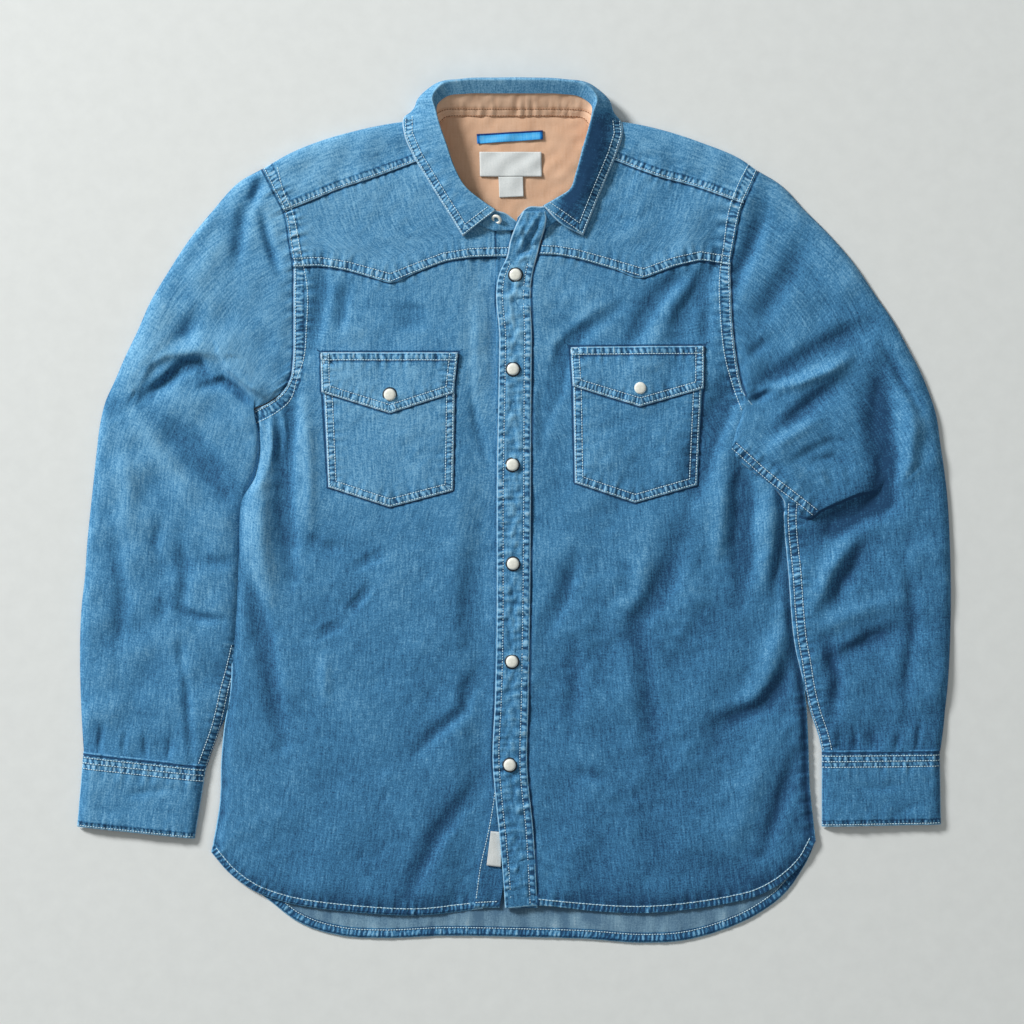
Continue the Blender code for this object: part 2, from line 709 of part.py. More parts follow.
def shoulder_grid(outline, forward):
    """The part of the yoke that turns over a shoulder, from the back's floor to the seam."""
    shares = shares_of(along(outline, np.linspace(0, 1, 8)))
    edge = along(outline, shares)
    seam = along(forward, shares)
    run = seam - edge
    length = np.linalg.norm(run, axis=1)
    run /= length[:, None]
    rows = []
    for distance, height in SHOULDER_SECTION:
        place = edge + run * distance
        rows.append(np.column_stack([place, np.full(len(edge), height)]))
    for share in (0.55, 1):
        place = edge + run * (SHOULDER_SECTION[-1][0] * (1 - share) + length * share)[:, None]
        top = front_height(place[:, 0], place[:, 1]) + 2 * (WALL + GAP)
        rows.append(np.column_stack([place, np.maximum(top, 8.8)]))
    return np.array(rows)


def back_yoke():
    right = shoulder_grid(RIGHT_SHOULDER, RIGHT_FORWARD)
    left = shoulder_grid(LEFT_SHOULDER, LEFT_FORWARD)[:, ::-1]
    neck = np.linspace(right[0, -1], left[0, 0], 6)[1:-1]
    top = np.vstack([right[0], neck, left[0]])
    first = stretch(body_edge("right"), YOKE_SEAM, top[0, 1])[:-1]
    last = stretch(body_edge("left"), YOKE_SEAM, top[-1, 1])[:-1]
    side = np.vstack([first, top[0, :2]])
    other = along(np.vstack([last, top[-1, :2]]), shares_of(side))
    columns = shares_of(top[:, :2])[:, None]
    bottom = side[0] + (other[0] - side[0]) * columns
    floor = filled(bottom, top[:, :2], side, other)
    floor = with_heights(floor, lambda x, y: np.zeros_like(x))
    hollow_sheet("back_yoke", [floor, right, left], "denim")


def yoke_lining():
    columns = np.linspace(LINING["left"], LINING["right"], 9)
    rows = np.linspace(LINING["low"], LINING["high"], 6)
    x, y = np.meshgrid(columns, rows)
    plan = np.stack([x, y], axis=-1)
    laid_sheet("yoke_lining", with_heights(plan, lambda x, y: np.full_like(x, 2 * WALL + GAP)), "tan")


def right_front():
    top = along(np.vstack([RIGHT_POINT, RIGHT_POINT_IN[1:]]), COLUMN_SHARES)
    top = top + np.array([0, UNDER_YOKE])
    side = stretch(body_edge("right"), -307, top[0, 1])
    top[0] = side[-1]
    top[-1, 0] = side_at(UNDERLAP_LEFT, top[-1, 1]) + UNDERLAP_HOLD
    ys = top[-1, 1] + (shares_of(side) - 1) * (top[-1, 1] + 358)
    centre = side_points(UNDERLAP_LEFT, ys) + np.array([UNDERLAP_HOLD, 0])
    bottom = along(RIGHT_HEM, COLUMN_SHARES)
    bottom[-1] = centre[0]
    plan = filled(bottom, top, side, centre)
    laid_sheet("right_front", with_heights(plan, right_front_height), "denim")


def left_front():
    top = along(np.vstack([LEFT_POINT, LEFT_POINT_IN[1:]]), COLUMN_SHARES)
    top = top + np.array([0, UNDER_YOKE])
    side = stretch(body_edge("left"), -297, top[0, 1])
    top[0] = side[-1]
    top[-1, 0] = side_at(PLACKET_LEFT, top[-1, 1]) + PLACKET_HOLD
    ys = top[-1, 1] + (shares_of(side) - 1) * (top[-1, 1] + 357)
    centre = side_points(PLACKET_LEFT, ys) + np.array([PLACKET_HOLD, 0])
    bottom = along(LEFT_HEM[::-1], COLUMN_SHARES)
    bottom[-1] = centre[0]
    plan = filled(bottom, top, side, centre)
    laid_sheet("left_front", with_heights(plan, front_height), "denim")


def front_yoke(side, point, point_in, forward, inner, under):
    """A front's pointed yoke, from the armhole to the placket and the neck."""
    bottom = np.vstack([along(point, np.linspace(0, 1, 7)), along(point_in, np.linspace(0, 1, 7))[1:]])
    seam = np.asarray(forward, float)
    top = shifted_line(seam, UNDER_SHOULDER if side == "right" else -UNDER_SHOULDER)
    armhole = stretch(body_edge(side), bottom[0, 1], top[0, 1])
    armhole = along(armhole, np.linspace(0, 1, 7))
    top = along(np.vstack([armhole[-1], top[1:], inner[-1]]), shares_of(bottom))
    neck = along(inner, np.linspace(0, 1, 7))
    bottom[-1] = neck[0]
    plan = filled(bottom, top, armhole, neck)
    height = right_front_height if side == "right" else front_height
    heights = height(plan[..., 0], plan[..., 1])[..., None] + WALL + GAP
    cover = laid_over(plan, [under], 5)[..., 2:]
    laid_sheet(f"{side}_front_yoke", np.concatenate([plan, np.maximum(heights, cover)], axis=-1), "denim")


def strip(left, right, columns=3):
    """Rows by columns of points between two upward lines."""
    across = np.linspace(0, 1, columns)[None, :, None]
    return left[:, None] * (1 - across) + right[:, None] * across


def under_placket():
    ys = np.array(PLACKET_ROWS, float)
    left = side_points(UNDERLAP_LEFT, ys)
    right = side_points(UNDERLAP_RIGHT, ys)
    plan = strip(left, right)
    height = laid_over(plan, ["right_front"], 5)[..., 2].max(axis=1)
    height[ys > 220] = height[ys < 220][-1]
    points = with_heights(plan, lambda x, y: x * 0 + height[:, None])
    laid_sheet("under_placket", points, "denim_light")


def front_placket():
    ys = np.array(PLACKET_ROWS, float)
    plan = strip(side_points(PLACKET_LEFT, ys), side_points(PLACKET_RIGHT, ys), 4)
    height = front_height(plan[..., 0], plan[..., 1]) + WALL + GAP
    points = laid_over(plan, ["left_front", "under_placket"], 3)
    points[..., 2] = np.maximum(points[..., 2], height)
    laid_sheet("front_placket", points, "denim")


def pocket(side):
    """A patch pocket and the flap over it."""
    front = f"{side}_front"
    plan = POCKETS[side]
    rows = np.linspace(0, 1, 7)
    for name, edges, under, reach in (
        ("pocket", ("bottom", "top"), [front], 7),
        ("pocket_flap", ("flap_bottom", "flap_top"), [front, f"{side}_pocket"], 11),
    ):
        bottom = np.array(plan[edges[0]], float)
        bottom = np.vstack([along(bottom[:2], rows[::2]), along(bottom[1:], rows[::2])[1:]])
        top = along(plan[edges[1]], shares_of(bottom))
        up = rows if name == "pocket" else rows[::3]
        left = bottom[0] + (top[0] - bottom[0]) * up[:, None]
        right = bottom[-1] + (top[-1] - bottom[-1]) * up[:, None]
        points = laid_over(filled(bottom, top, left, right), under, reach)
        laid_sheet(f"{side}_{name}", points, "denim")


def tube_plan(ring, start, ways):
    """Points across a sleeve ring at these shares; start is the first ring's own line."""
    outer = np.array(ring[:2], float)
    inner = np.array(ring[2:4], float)
    first = along_straight(start, ways)
    chord = start[-1] - start[0]
    rest = first - (start[0] + chord * ways[:, None])
    along_first = chord / np.linalg.norm(chord)
    across_first = np.array([-along_first[1], along_first[0]])
    run = inner - outer
    here = run / np.linalg.norm(run)
    across = np.array([-here[1], here[0]])
    bow = (rest @ along_first)[:, None] * here + (rest @ across_first)[:, None] * across
    if ring[4] == 1:
        return first
    kept = ring[4] * (1 - smooth_step((ways[:, None] - 0.7) / 0.2))
    return outer + run * ways[:, None] + bow * kept


def along_straight(points, shares):
    """Points at these shares of a line of straight pieces."""
    place = shares_of(points)
    return np.column_stack([np.interp(shares, place, points[:, i]) for i in (0, 1)])


def tube(name, rings, start, height, folds, finish, wall=WALL, over=None, steps=6):
    """A flattened tube of cloth, open at both ends."""
    scale = wall / WALL
    rows = []
    for ring in rings:
        width = np.linalg.norm(np.subtract(ring[2:4], ring[:2]))
        if ring[4] == 1:
            width = np.linalg.norm(np.diff(start, axis=0), axis=1).sum()
        mids = np.linspace(TUBE_OUTER[-1], width - TUBE_INNER[-1], steps)[1:-1]
        inner = width - np.array(TUBE_INNER[::-1])
        upper = np.concatenate([[0], np.array(TUBE_OUTER), mids, inner, [width]])
        low_mids = np.linspace(TUBE_LOW_OUTER[-1], width - TUBE_LOW_INNER[-1], 4)[1:-1]
        inner = width - np.array(TUBE_LOW_INNER[::-1])
        lower = np.concatenate([np.array(TUBE_LOW_OUTER), low_mids, inner])[::-1]
        top = tube_plan(ring, start, upper / width)
        low = tube_plan(ring, start, lower / width)
        top_rest = np.zeros(len(upper))
        low_rest = np.zeros(len(lower))
        if over:
            for place, rest in ((top, top_rest), (low, low_rest)):
                near = (place[:, 1] > FLAP[0]) & (place[:, 1] < FLAP[1])
                found = lie_on(place[:, 0], place[:, 1], [over], FLAP_REACH)
                rest[:] = np.where(near & (found > 0), found + GAP, 0)
        edge = np.minimum(upper, width - upper)
        rounded = 1 - np.exp(-edge / EDGE_REACH)
        full = height + fold_height(top[:, 0], top[:, 1], folds)
        full = np.maximum(full, top_rest + (TUBE_LEAST + 0.6) * scale)
        edge_z = top_rest + EDGE_HEIGHT * scale
        z = edge_z + (full - edge_z) * rounded
        ring_top = np.column_stack([top, z])
        ring_low = np.column_stack([low, low_rest])
        rows.append(np.vstack([ring_top, ring_low, ring_top[:1]]))
    return hollow_sheet(name, [np.array(rows)], finish, wall)


def sleeve(side):
    table = RIGHT_SLEEVE if side == "right" else LEFT_SLEEVE
    armhole = np.array(RIGHT_ARMHOLE if side == "right" else LEFT_ARMHOLE, float)[:-2]
    away = -1 if side == "right" else 1
    start = shifted_line(armhole, SEAM_GAP * away)
    start[-3:] += np.array([1.8 * away, 1.8])
    rings = []
    for outer_x, outer_y, inner_x, inner_y, bow in table:
        rings.append((outer_x, outer_y, inner_x + SEAM_GAP * away, inner_y, bow))
    folds = RIGHT_SLEEVE_FOLDS if side == "right" else LEFT_SLEEVE_FOLDS
    over = "left_front" if side == "left" else None
    tube(f"{side}_sleeve", rings, start, SLEEVE_HEIGHT, folds, "denim", over=over)


def cuff(side):
    plan = RIGHT_CUFF if side == "right" else LEFT_CUFF
    start = np.array(plan["top"], float)
    end = np.array(plan["bottom"], float)
    rings = []
    for share in (0, 0.5, 1):
        line = start + (end - start) * share
        rings.append((*line[0], *line[1], 1 if share == 0 else 0))
    tube(f"{side}_cuff", rings, start, CUFF_HEIGHT, (), "denim", CUFF_WALL, steps=4)


def collar():
    """The stand, and the fall that turns over it."""
    table = np.array(COLLAR, float).reshape(-1, 4, 3)
    crest, bulge, edge, seam = table.transpose(1, 0, 2)
    station = np.arange(len(table))
    open_share = smooth_step(0.1 + np.minimum(station, station[::-1]) / 3)[:, None]
    stand_top = crest + (seam - crest) * (STAND_TOP_SHARE * open_share + 0.03)
    ends = [np.array(end, float).reshape(2, 3) for end in STAND_RIGHT_END]
    starts = [np.array(end, float).reshape(2, 3) for end in STAND_LEFT_END]
    upper = np.vstack([[end[0] for end in ends], stand_top, [end[0] for end in starts]])
    lower = np.vstack([[end[1] for end in ends], seam, [end[1] for end in starts]])
    for place in lower:
        least = rest_at(place[0], place[1], ["right_front_yoke", "left_front_yoke"], 9)
        place[2] = max(place[2], least) if place[1] < 340 else place[2]
    rows = np.stack([lower, lower * 0.5 + upper * 0.5, upper])
    hollow_sheet("collar_stand", [rows], "tan", COLLAR_WALL, turn=False)
    lip = crest + (seam - crest) * np.maximum(LIP_SHARE * open_share, 0.1)
    sections = []
    for points in zip(lip, crest, bulge, edge):
        points = np.array(points)
        fall = along(points[1:], (0, 0.12, 0.36, 0.62, 0.84, 1))
        sections.append(np.vstack([points[:1], fall]))
    sections = np.array(sections)
    under = ["right_front_yoke", "left_front_yoke", "back_yoke", "front_placket"]
    for column in range(7):
        place = sections[:, column] if column else sections[open_share[:, 0] < 0.6, 0]
        least = lie_on(place[:, 0], place[:, 1], ["collar_stand"], 4) + 2 * COLLAR_WALL + 2
        place[:, 2] = np.where(place[:, 1] < 300, np.maximum(place[:, 2], least), place[:, 2])
        if column == 0:
            sections[open_share[:, 0] < 0.6, 0] = place
    for column in (4, 5, 6):
        place = sections[:, column]
        least = lie_on(place[:, 0], place[:, 1], under, 7) + GAP + COLLAR_WALL
        place[:, 2] = np.where(place[:, 1] < 354, np.maximum(place[:, 2], least), place[:, 2])
    hollow_sheet("collar", [sections], "denim", COLLAR_WALL)


def turned(name, profile, steps, finish, place, up=(0, 0, 1)):
    """A solid of revolution; the profile's rows are radius, height."""
    bm = bmesh.new()
    verts = [bm.verts.new((radius * MM, 0, height * MM)) for radius, height in profile]
    for first, second in zip(verts, verts[1:]):
        bm.edges.new((first, second))
    if profile[0][0] > 0:
        bm.edges.new((verts[-1], verts[0]))
    made = object_from(bm, name, finish)
    bm.free()
    screw = made.modifiers.new("turn", "SCREW")
    screw.axis = "Z"
    screw.steps = steps
    screw.render_steps = steps
    screw.use_merge_vertices = True
    screw.merge_threshold = 0.00001
    screw.use_normal_calculate = True
    screw.use_normal_flip = profile[0][0] > 0
    made.location = Vector(place) * MM
    made.rotation_mode = "QUATERNION"
    made.rotation_quaternion = Vector((0, 0, 1)).rotation_difference(Vector(up))
    return made


def snaps():
    cap = (
        (0, 0),
        (SNAP_RADIUS - 0.9, 0),
        (SNAP_RADIUS, 0.7),
        (SNAP_RADIUS, 1.3),
        (SNAP_RADIUS - 0.9, 1.9),
        (SNAP_RADIUS * 0.55, SNAP_HEIGHT - 0.4),
        (0, SNAP_HEIGHT),
    )
    for number, (x, y) in enumerate(PLACKET_SNAPS, 1):
        z = rest_at(x, y, ["front_placket"], SNAP_RADIUS)
        turned(f"placket_snap_{number}", cap, 20, "pearl", (x, y, z))
    for side in ("right", "left"):
        x, y = POCKETS[side]["snap"]
        z = rest_at(x, y, [f"{side}_pocket_flap"], SNAP_RADIUS)
        turned(f"{side}_pocket_snap", cap, 20, "pearl", (x, y, z))
    ring = ((RING_BORE, 0), (RING_RADIUS, 0), (RING_RADIUS - 0.6, RING_HEIGHT), (RING_BORE, RING_HEIGHT))
    x, y = NECK_RING
    heights = [rest_at(x + dx, y + dy, ["collar_stand"], 0.5) for dx, dy in ((0, 0), (3, 0), (0, 3))]
    slope = Vector((3, 0, heights[1] - heights[0])).cross(Vector((0, 3, heights[2] - heights[0])))
    lift = heights[0] + COLLAR_WALL + 0.4
    turned("neck_snap_ring", ring, 20, "pearl", (x, y, lift), slope.normalized())


def rest_at(x, y, under, reach):
    return float(lie_on(np.array([x]), np.array([y]), under, reach)[0]) + GAP


def four_sided(corners, columns, rows):
    corners = np.array(corners, float)
    left = corners[0] + (corners[3] - corners[0]) * np.linspace(0, 1, rows)[:, None]
    right = corners[1] + (corners[2] - corners[1]) * np.linspace(0, 1, rows)[:, None]
    return strip(left, right, columns)


def small_pieces():
    finishes = {"hanger_loop": "tape", "neck_label": "label", "size_label": "label"}
    for name, corners in SMALL_SHEETS.items():
        plan = four_sided(corners, 4, 3)
        laid_sheet(name, laid_over(plan, ["yoke_lining"], 0, LABEL_WALL), finishes[name], LABEL_WALL)
    plan = four_sided(HEM_TAG, 2, 4)
    points = laid_over(plan, ["under_placket", "right_front"], 3, LABEL_WALL)
    laid_sheet("hem_tag", points, "label", LABEL_WALL)


def main():
    back_panel()
    back_yoke()
    yoke_lining()
    right_front()
    front_yoke("right", RIGHT_POINT, RIGHT_POINT_IN, RIGHT_FORWARD, RIGHT_NECK, "right_front")
    under_placket()
    left_front()
    front_yoke("left", LEFT_POINT, LEFT_POINT_IN, LEFT_FORWARD, LEFT_NECK, "left_front")
    front_placket()
    pocket("right")
    pocket("left")
    collar()
    sleeve("right")
    sleeve("left")
    cuff("right")
    cuff("left")
    snaps()
    small_pieces()


for old in list(bpy.data.objects):
    bpy.data.objects.remove(old)
trees = {}
shirt = collection_named("denim_shirt")
main()
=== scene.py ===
"""The look of a denim western shirt that is fastened and laid flat on its back.

The tables are in millimetres: x runs to the wearer's left, y to the collar and z up from
the surface that the shirt lies on. Each cut piece of the CAD model gets a finer sheet of
cloth with the shirt's folds, seam puckers and stitches.
"""

import bpy
import numpy as np
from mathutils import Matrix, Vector
from mathutils.bvhtree import BVHTree


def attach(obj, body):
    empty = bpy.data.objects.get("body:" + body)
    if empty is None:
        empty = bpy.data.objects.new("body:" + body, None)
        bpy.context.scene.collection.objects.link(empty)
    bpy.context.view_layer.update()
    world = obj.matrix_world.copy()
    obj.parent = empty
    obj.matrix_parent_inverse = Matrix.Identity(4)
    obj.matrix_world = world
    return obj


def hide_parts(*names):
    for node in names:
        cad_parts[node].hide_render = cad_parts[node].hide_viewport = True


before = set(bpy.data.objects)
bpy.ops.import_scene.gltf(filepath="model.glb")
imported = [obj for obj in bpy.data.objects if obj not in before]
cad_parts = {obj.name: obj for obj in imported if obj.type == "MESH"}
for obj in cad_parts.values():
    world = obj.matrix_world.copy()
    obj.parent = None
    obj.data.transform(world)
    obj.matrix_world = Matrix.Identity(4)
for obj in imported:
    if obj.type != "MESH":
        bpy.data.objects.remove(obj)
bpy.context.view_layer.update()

TREES = {}  # each piece's faces, by its CAD node's name
MM = 0.001
TURN = 2 * np.pi

# Heights
LAYER = 1.3  # one layer of cloth over another
BODY_HEIGHT = 6.4  # top of the fronts over the flat back
LOWEST_FRONT = 2.9  # top of a front that is pressed onto the back
UNDERLAP_DROP = 3.7  # how far the right front dips under the left one
SLEEVE_HEIGHT = 7.2
CUFF_HEIGHT = 6.6
PLACKET_SNAP_HEIGHT = 8.4
LABEL_HEIGHT = 4.6
HEM_TAG_HEIGHT = 6.4
EDGE_HEIGHT = 1.9  # middle of the turned edge of a flattened tube
EDGE_REACH = 4.0  # how fast a tube's edge rounds up to its full height

# Folds and unevenness
PAINTED_SHADE_SHIFT = 2.2  # how far toward the lower right, away from the key light, a fold's painted shade is moved
BODY_FOLDS = 1.6  # how much deeper the body's folds are than their table says
SLEEVE_FOLDS = 1.3  # the same of the sleeves' folds
PLACKET_TWIST = 1.3  # and of those at the placket's top
FOLD_END = 0.3  # the share of a fold's length in which it rises from each end
FOLD_END_HEIGHT = 0.35  # a fold's height at its very end, as a share of its full height
ROUGH_WAVES = 14  # how many waves make up the cloth's unevenness
SEAM_WAVES = 9  # and a seam's puckers

# Seams
SEAM_REACH = 16  # how far from its line a seam changes the cloth
PUCKER_REACH = 7  # how far from the row its puckers reach
PUCKER_LENGTH = 8  # about how long a pucker is, along the row
THREAD_DEPTH = 0.3  # how deep a row sinks into the cloth
THREAD_REACH = 1.2  # how wide the groove is that it sinks into
THREAD = 0.40  # radius of a stitch
TICK = 0.75  # how much paler and darker the small crests across a seam are
QUARTER_TURN = 1.57  # a band's place is counted in quarters of a crest
MARKS = 5  # how many numbers the seams give the cloth's material at a point
AT_ONCE = 4000  # points that are measured at a time, for the memory's sake
NO_RIM = 30.0  # distance from a worn rim where there is none
FAR = 99  # distance from a band or a line of painted shadow before one is found

# Points across and along the finer grids
FRONT_COLUMNS = 130
FRONT_ROWS = 290
YOKE_ROWS = 64
SHOULDER_COLUMNS = 120
POCKET_COLUMNS = 90
CREST_COLUMN = 7  # the collar's column that lies on its crest

# A stitch: sides, and its rings' place along it, radius and rise
STITCH_SEED = 91
STITCH_SIDES = 6
STITCH_RINGS = (
    (-0.5, 0.25, -0.55), (-0.42, 0.75, -0.15), (-0.2, 1.0, 0.12), (0.2, 1.0, 0.12), (0.42, 0.75, -0.15),
    (0.5, 0.25, -0.55),
)

# Unevenness of a cloth's colour: what sets its strength, how strong it is beside the others,
# and the noise's scale, detail, roughness and stretch. The first two are the yarns themselves.
YARNS = (
    ("grain", 2.1, 680, 3, 0.8),
    ("streak", 1.2, 1, 3, 0.65, (560, 60, 1)),
    ("streak", 0.4, 1, 2, 0.6, (70, 700, 1)),
    ("grain", 0.5, 150, 3, 0.6),
    ("fade", 0.35, 9, 3, 0.55),
    ("fade", 0.15, 34, 4, 0.6),
)

# Lights in metres: name, place, size, power
LIGHTS = (("key", (-4.1, 3.25, 2.8), 1.45, 408), ("fill", (1.9, -1.6, 3.0), 2.4, 9))
CAMERA_PLACE = (-0.0018, -0.00045, 2.183)

# The body's side edges: y, x
RIGHT_SIDE = (
    (-307, -273), (-292, -270), (-259, -265), (-225, -264), (-190, -260.6), (-164, -256), (-117, -254),
    (-87, -252), (-35, -250), (-10, -249.5), (14, -245), (33, -234.5), (46, -232), (68, -232),
    (79, -233.5),
)
LEFT_SIDE = (
    (-297, 272), (-250, 267), (-198, 265), (-173, 263.6), (-147, 260), (-115, 254), (-82, 251),
    (-42, 248), (-10, 246), (20, 242), (50, 238), (78, 235.5),
)

# The armholes from the shoulder to the underarm: x, y
RIGHT_ARMHOLE = (
    (-226.5, 309), (-216.5, 289), (-207, 270), (-201.6, 241), (-198.4, 220), (-198.4, 199),
    (-198.4, 165), (-199, 135), (-201, 121), (-209, 107), (-222, 97), (-234.5, 91),
)
LEFT_ARMHOLE = (
    (219.5, 307), (212.7, 292), (206, 277), (198.5, 244), (195, 222), (195.5, 195), (197, 165),
    (200, 140), (203, 122), (207, 107), (216, 95), (236, 84),
)

# Hems: x, y
BACK_HEM = (
    (-273, -307), (-256, -324), (-240, -336), (-217, -354), (-199, -368), (-176, -378), (-154, -383),
    (-115, -385), (-67, -383), (5, -384), (70, -386), (111, -389), (153, -387), (194, -375.5),
    (225, -360), (244, -345), (258, -326), (266, -312), (272, -297),
)
RIGHT_HEM = (
    (-273, -307), (-256, -326.5), (-236, -341), (-207, -352), (-174, -358), (-135, -362), (-86, -364),
    (-39, -359.5), (-13, -358),
)
LEFT_HEM = (
    (-6, -358), (21.5, -355), (70, -360), (111, -362), (163, -358), (194, -353), (221, -346),
    (246, -331), (262, -315), (272, -297),
)

# Shoulder folds and forward seams, from the armhole to the neck: x, y
RIGHT_SHOULDER = ((-226.5, 309), (-200, 324), (-175, 334), (-144, 343), (-99, 351.5), (-72, 353.5))
LEFT_SHOULDER = ((219.5, 307), (208, 315.5), (168, 333), (137.5, 343), (97, 351.5), (72, 353.5))
RIGHT_FORWARD = ((-207, 270), (-182, 280), (-158, 290), (-134, 298), (-87.5, 315), (-71, 321))
LEFT_FORWARD = ((206, 277), (184, 285), (160, 293.5), (128, 302), (91, 316), (72, 322))

# Lower edges of the pointed yokes, from the armhole to the placket: x, y
RIGHT_YOKE = (
    (-198.4, 220), (-175, 221), (-150, 217), (-129, 211), (-111, 206), (-86, 216), (-62, 225),
    (-38, 229), (-17, 229.5),
)
LEFT_YOKE = (
    (195, 222), (168, 226), (144, 220.5), (128, 214.5), (116.5, 210.5), (88, 219), (55.5, 228),
    (38, 231), (22.5, 231.5),
)
RIGHT_YOKE_END = ((-4, 230), (-3, 241), (-2, 252))  # it runs on under the placket

# Front edges: y, x
PLACKET_LEFT = (
    (-357, -8), (-339, -9), (-292, -13), (-253, -17), (-227, -19), (-170, -17), (-135, -16), (42, -15),
    (154, -13), (216, -12.4), (229, -6.5), (252, -1),
)
PLACKET_RIGHT = (
    (-355, 21), (-284, 17), (-234, 12), (-170, 13), (-80, 14.4), (154, 16), (216, 17), (231, 21),
    (252, 27),
)
UNDERLAP_LEFT = ((-352, -36), (-322, -32), (-284, -23.6), (-246, -18), (-200, -17.5), (252, -15.5))
UNDERLAP_RIGHT = ((-357, -13), (-300, -3), (-246, 7), (-200, 11), (252, 12))

# The placket runs up over the stand's end in the neck: y, x
LONG_LEFT = (*PLACKET_LEFT[:-1], (243, -3.5), (256, 1.5), (263, 5), (269, 8))
LONG_RIGHT = (*PLACKET_RIGHT[:-1], (243, 24), (256, 28), (263, 29), (269, 28))
PLACKET_FOLDS = (
    (1.0, 2, 2.5, ((2, 224), (10, 229), (20, 228))),
    (-1.0, 2, 2, ((4, 230), (14, 236), (22, 240))),
    (1.1, 2, 2, ((6, 238), (12, 250), (18, 262))),
    (-1.1, 2, 2, ((11, 234), (17, 248), (23, 262))),
    (0.8, 2, 2, ((3, 246), (9, 258), (12, 266))),
)

UNDERLAP_HOLD = 8  # how far a front runs under its placket
PLACKET_HOLD = 3
UNDER_YOKE = 9  # how far a front runs up under its yoke
UNDER_SHOULDER = 6  # how far a front yoke runs under the back yoke's shoulder
UNDER_COLLAR = (4.5, 2.5)  # how far a front yoke runs in and up under the collar

# Inner edges of the front yokes, up the placket and round the neck: x, y
RIGHT_NECK = (
    (-17, 229.5), (-17, 240), (-17.5, 250), (-30, 255), (-45, 267), (-55.5, 287), (-62, 308),
    (-65.5, 325),
)
LEFT_NECK = (
    (22.5, 231.5), (25, 241), (28.5, 252), (40, 260), (49.5, 272), (57.5, 290), (62.5, 309), (66, 326),
)

# Snaps on the front placket: x, y
PLACKET_SNAPS = ((1.3, 213), (-0.9, 128), (-1.4, 42), (-0.9, -47), (-1.8, -135), (-3.8, -228))

# Pockets: outer and inner x at the top and bottom, the point's x, and the y of each
POCKETS = {
    "right": {
        "top": ((-172, 137), (-53, 137)),
        "bottom": ((-167, 22), (-111.6, 4), (-55, 19)),
        "flap_top": ((-174, 143), (-50.5, 143)),
        "flap_bottom": ((-173, 107.5), (-111.6, 88.5), (-54.5, 107)),
        "snap": (-111.6, 105),
    },
    "left": {
        "top": ((53, 142), (170, 142)),
        "bottom": ((55, 26), (109, 8), (165, 24)),
        "flap_top": ((51, 148), (171, 149)),
        "flap_bottom": ((53, 113), (113.4, 94.6), (170.5, 111)),
        "snap": (113.4, 111),
    },
}

# Sleeve rings from the shoulder to the cuff: outer x, y, inner x, y, and the share of the
# armhole's bow that the ring has
RIGHT_SLEEVE = (
    (-227, 309.3, -209, 107, 1),
    (-248, 297, -222, 98.3, 0.9),
    (-272, 271, -235.5, 92, 0.77),
    (-293, 245, -235.8, 85, 0.65),
    (-312, 216, -234, 78, 0.54),
    (-328, 189, -232.8, 70, 0.44),
    (-339.5, 163, -232.2, 62, 0.35),
    (-351, 139, -232.2, 53, 0.26),
    (-360, 118, -233.2, 41, 0.18),
    (-368.5, 99, -237.6, 27, 0.1),
    (-373.5, 78, -245.2, 13, 0.04),
    (-376.5, 54, -249, -2, 0),
    (-379, 30, -249.6, -20, 0),
    (-382, 2, -250.2, -42, 0),
    (-385, -28, -251.3, -66, 0),
    (-387, -58, -252.2, -90, 0),
    (-390, -85, -253.8, -114, 0),
    (-391.3, -110, -254.8, -138, 0),
    (-391.5, -137, -255.8, -160, 0),
    (-391, -162, -259, -181, 0),
    (-390, -186, -266, -198.5, 0),
    (-389, -203, -271.5, -214, 0),
    (-388, -218, -277, -230, 0),
)
LEFT_SLEEVE = (
    (220, 307.3, 207, 107, 1),
    (240, 295, 206.9, 103.5, 0.8),
    (262, 272, 206.4, 100, 0.6),
    (283, 251, 205.6, 95.5, 0.4),
    (304, 227, 204.2, 88, 0.2),
    (326, 195, 201.5, 76, 0.08),
    (343, 170, 199, 64, 0),
    (355, 148, 195, 54, 0),
    (366, 127, 206, 44.5, 0),
    (374, 108, 218.5, 34.5, 0),
    (381, 86, 231, 24, 0),
    (384.5, 62, 241, 16, 0),
    (388, 38, 246, 7.5, 0),
    (391, 12, 245.6, -6, 0),
    (392.5, -12, 246.6, -22, 0),
    (393.5, -38, 248.6, -42, 0),
    (394, -64, 250.6, -66, 0),
    (394, -90, 252.2, -90, 0),
    (393.5, -114, 254.6, -114, 0),
    (392.5, -138, 258.8, -138, 0),
    (391, -160, 262.4, -160, 0),
    (389, -178, 267.5, -181, 0),
    (387, -198, 274.5, -202, 0),
    (384.5, -216, 278, -217, 0),
)

# Cuffs: corners, from the outer one at the sleeve round to the inner one: x, y
RIGHT_CUFF = {"top": ((-388.5, -218.4), (-277.5, -230.4)), "bottom": ((-394, -284), (-288, -295))}
LEFT_CUFF = {"top": ((384, -216.4), (277.5, -217.4)), "bottom": ((385, -282), (277.5, -284))}

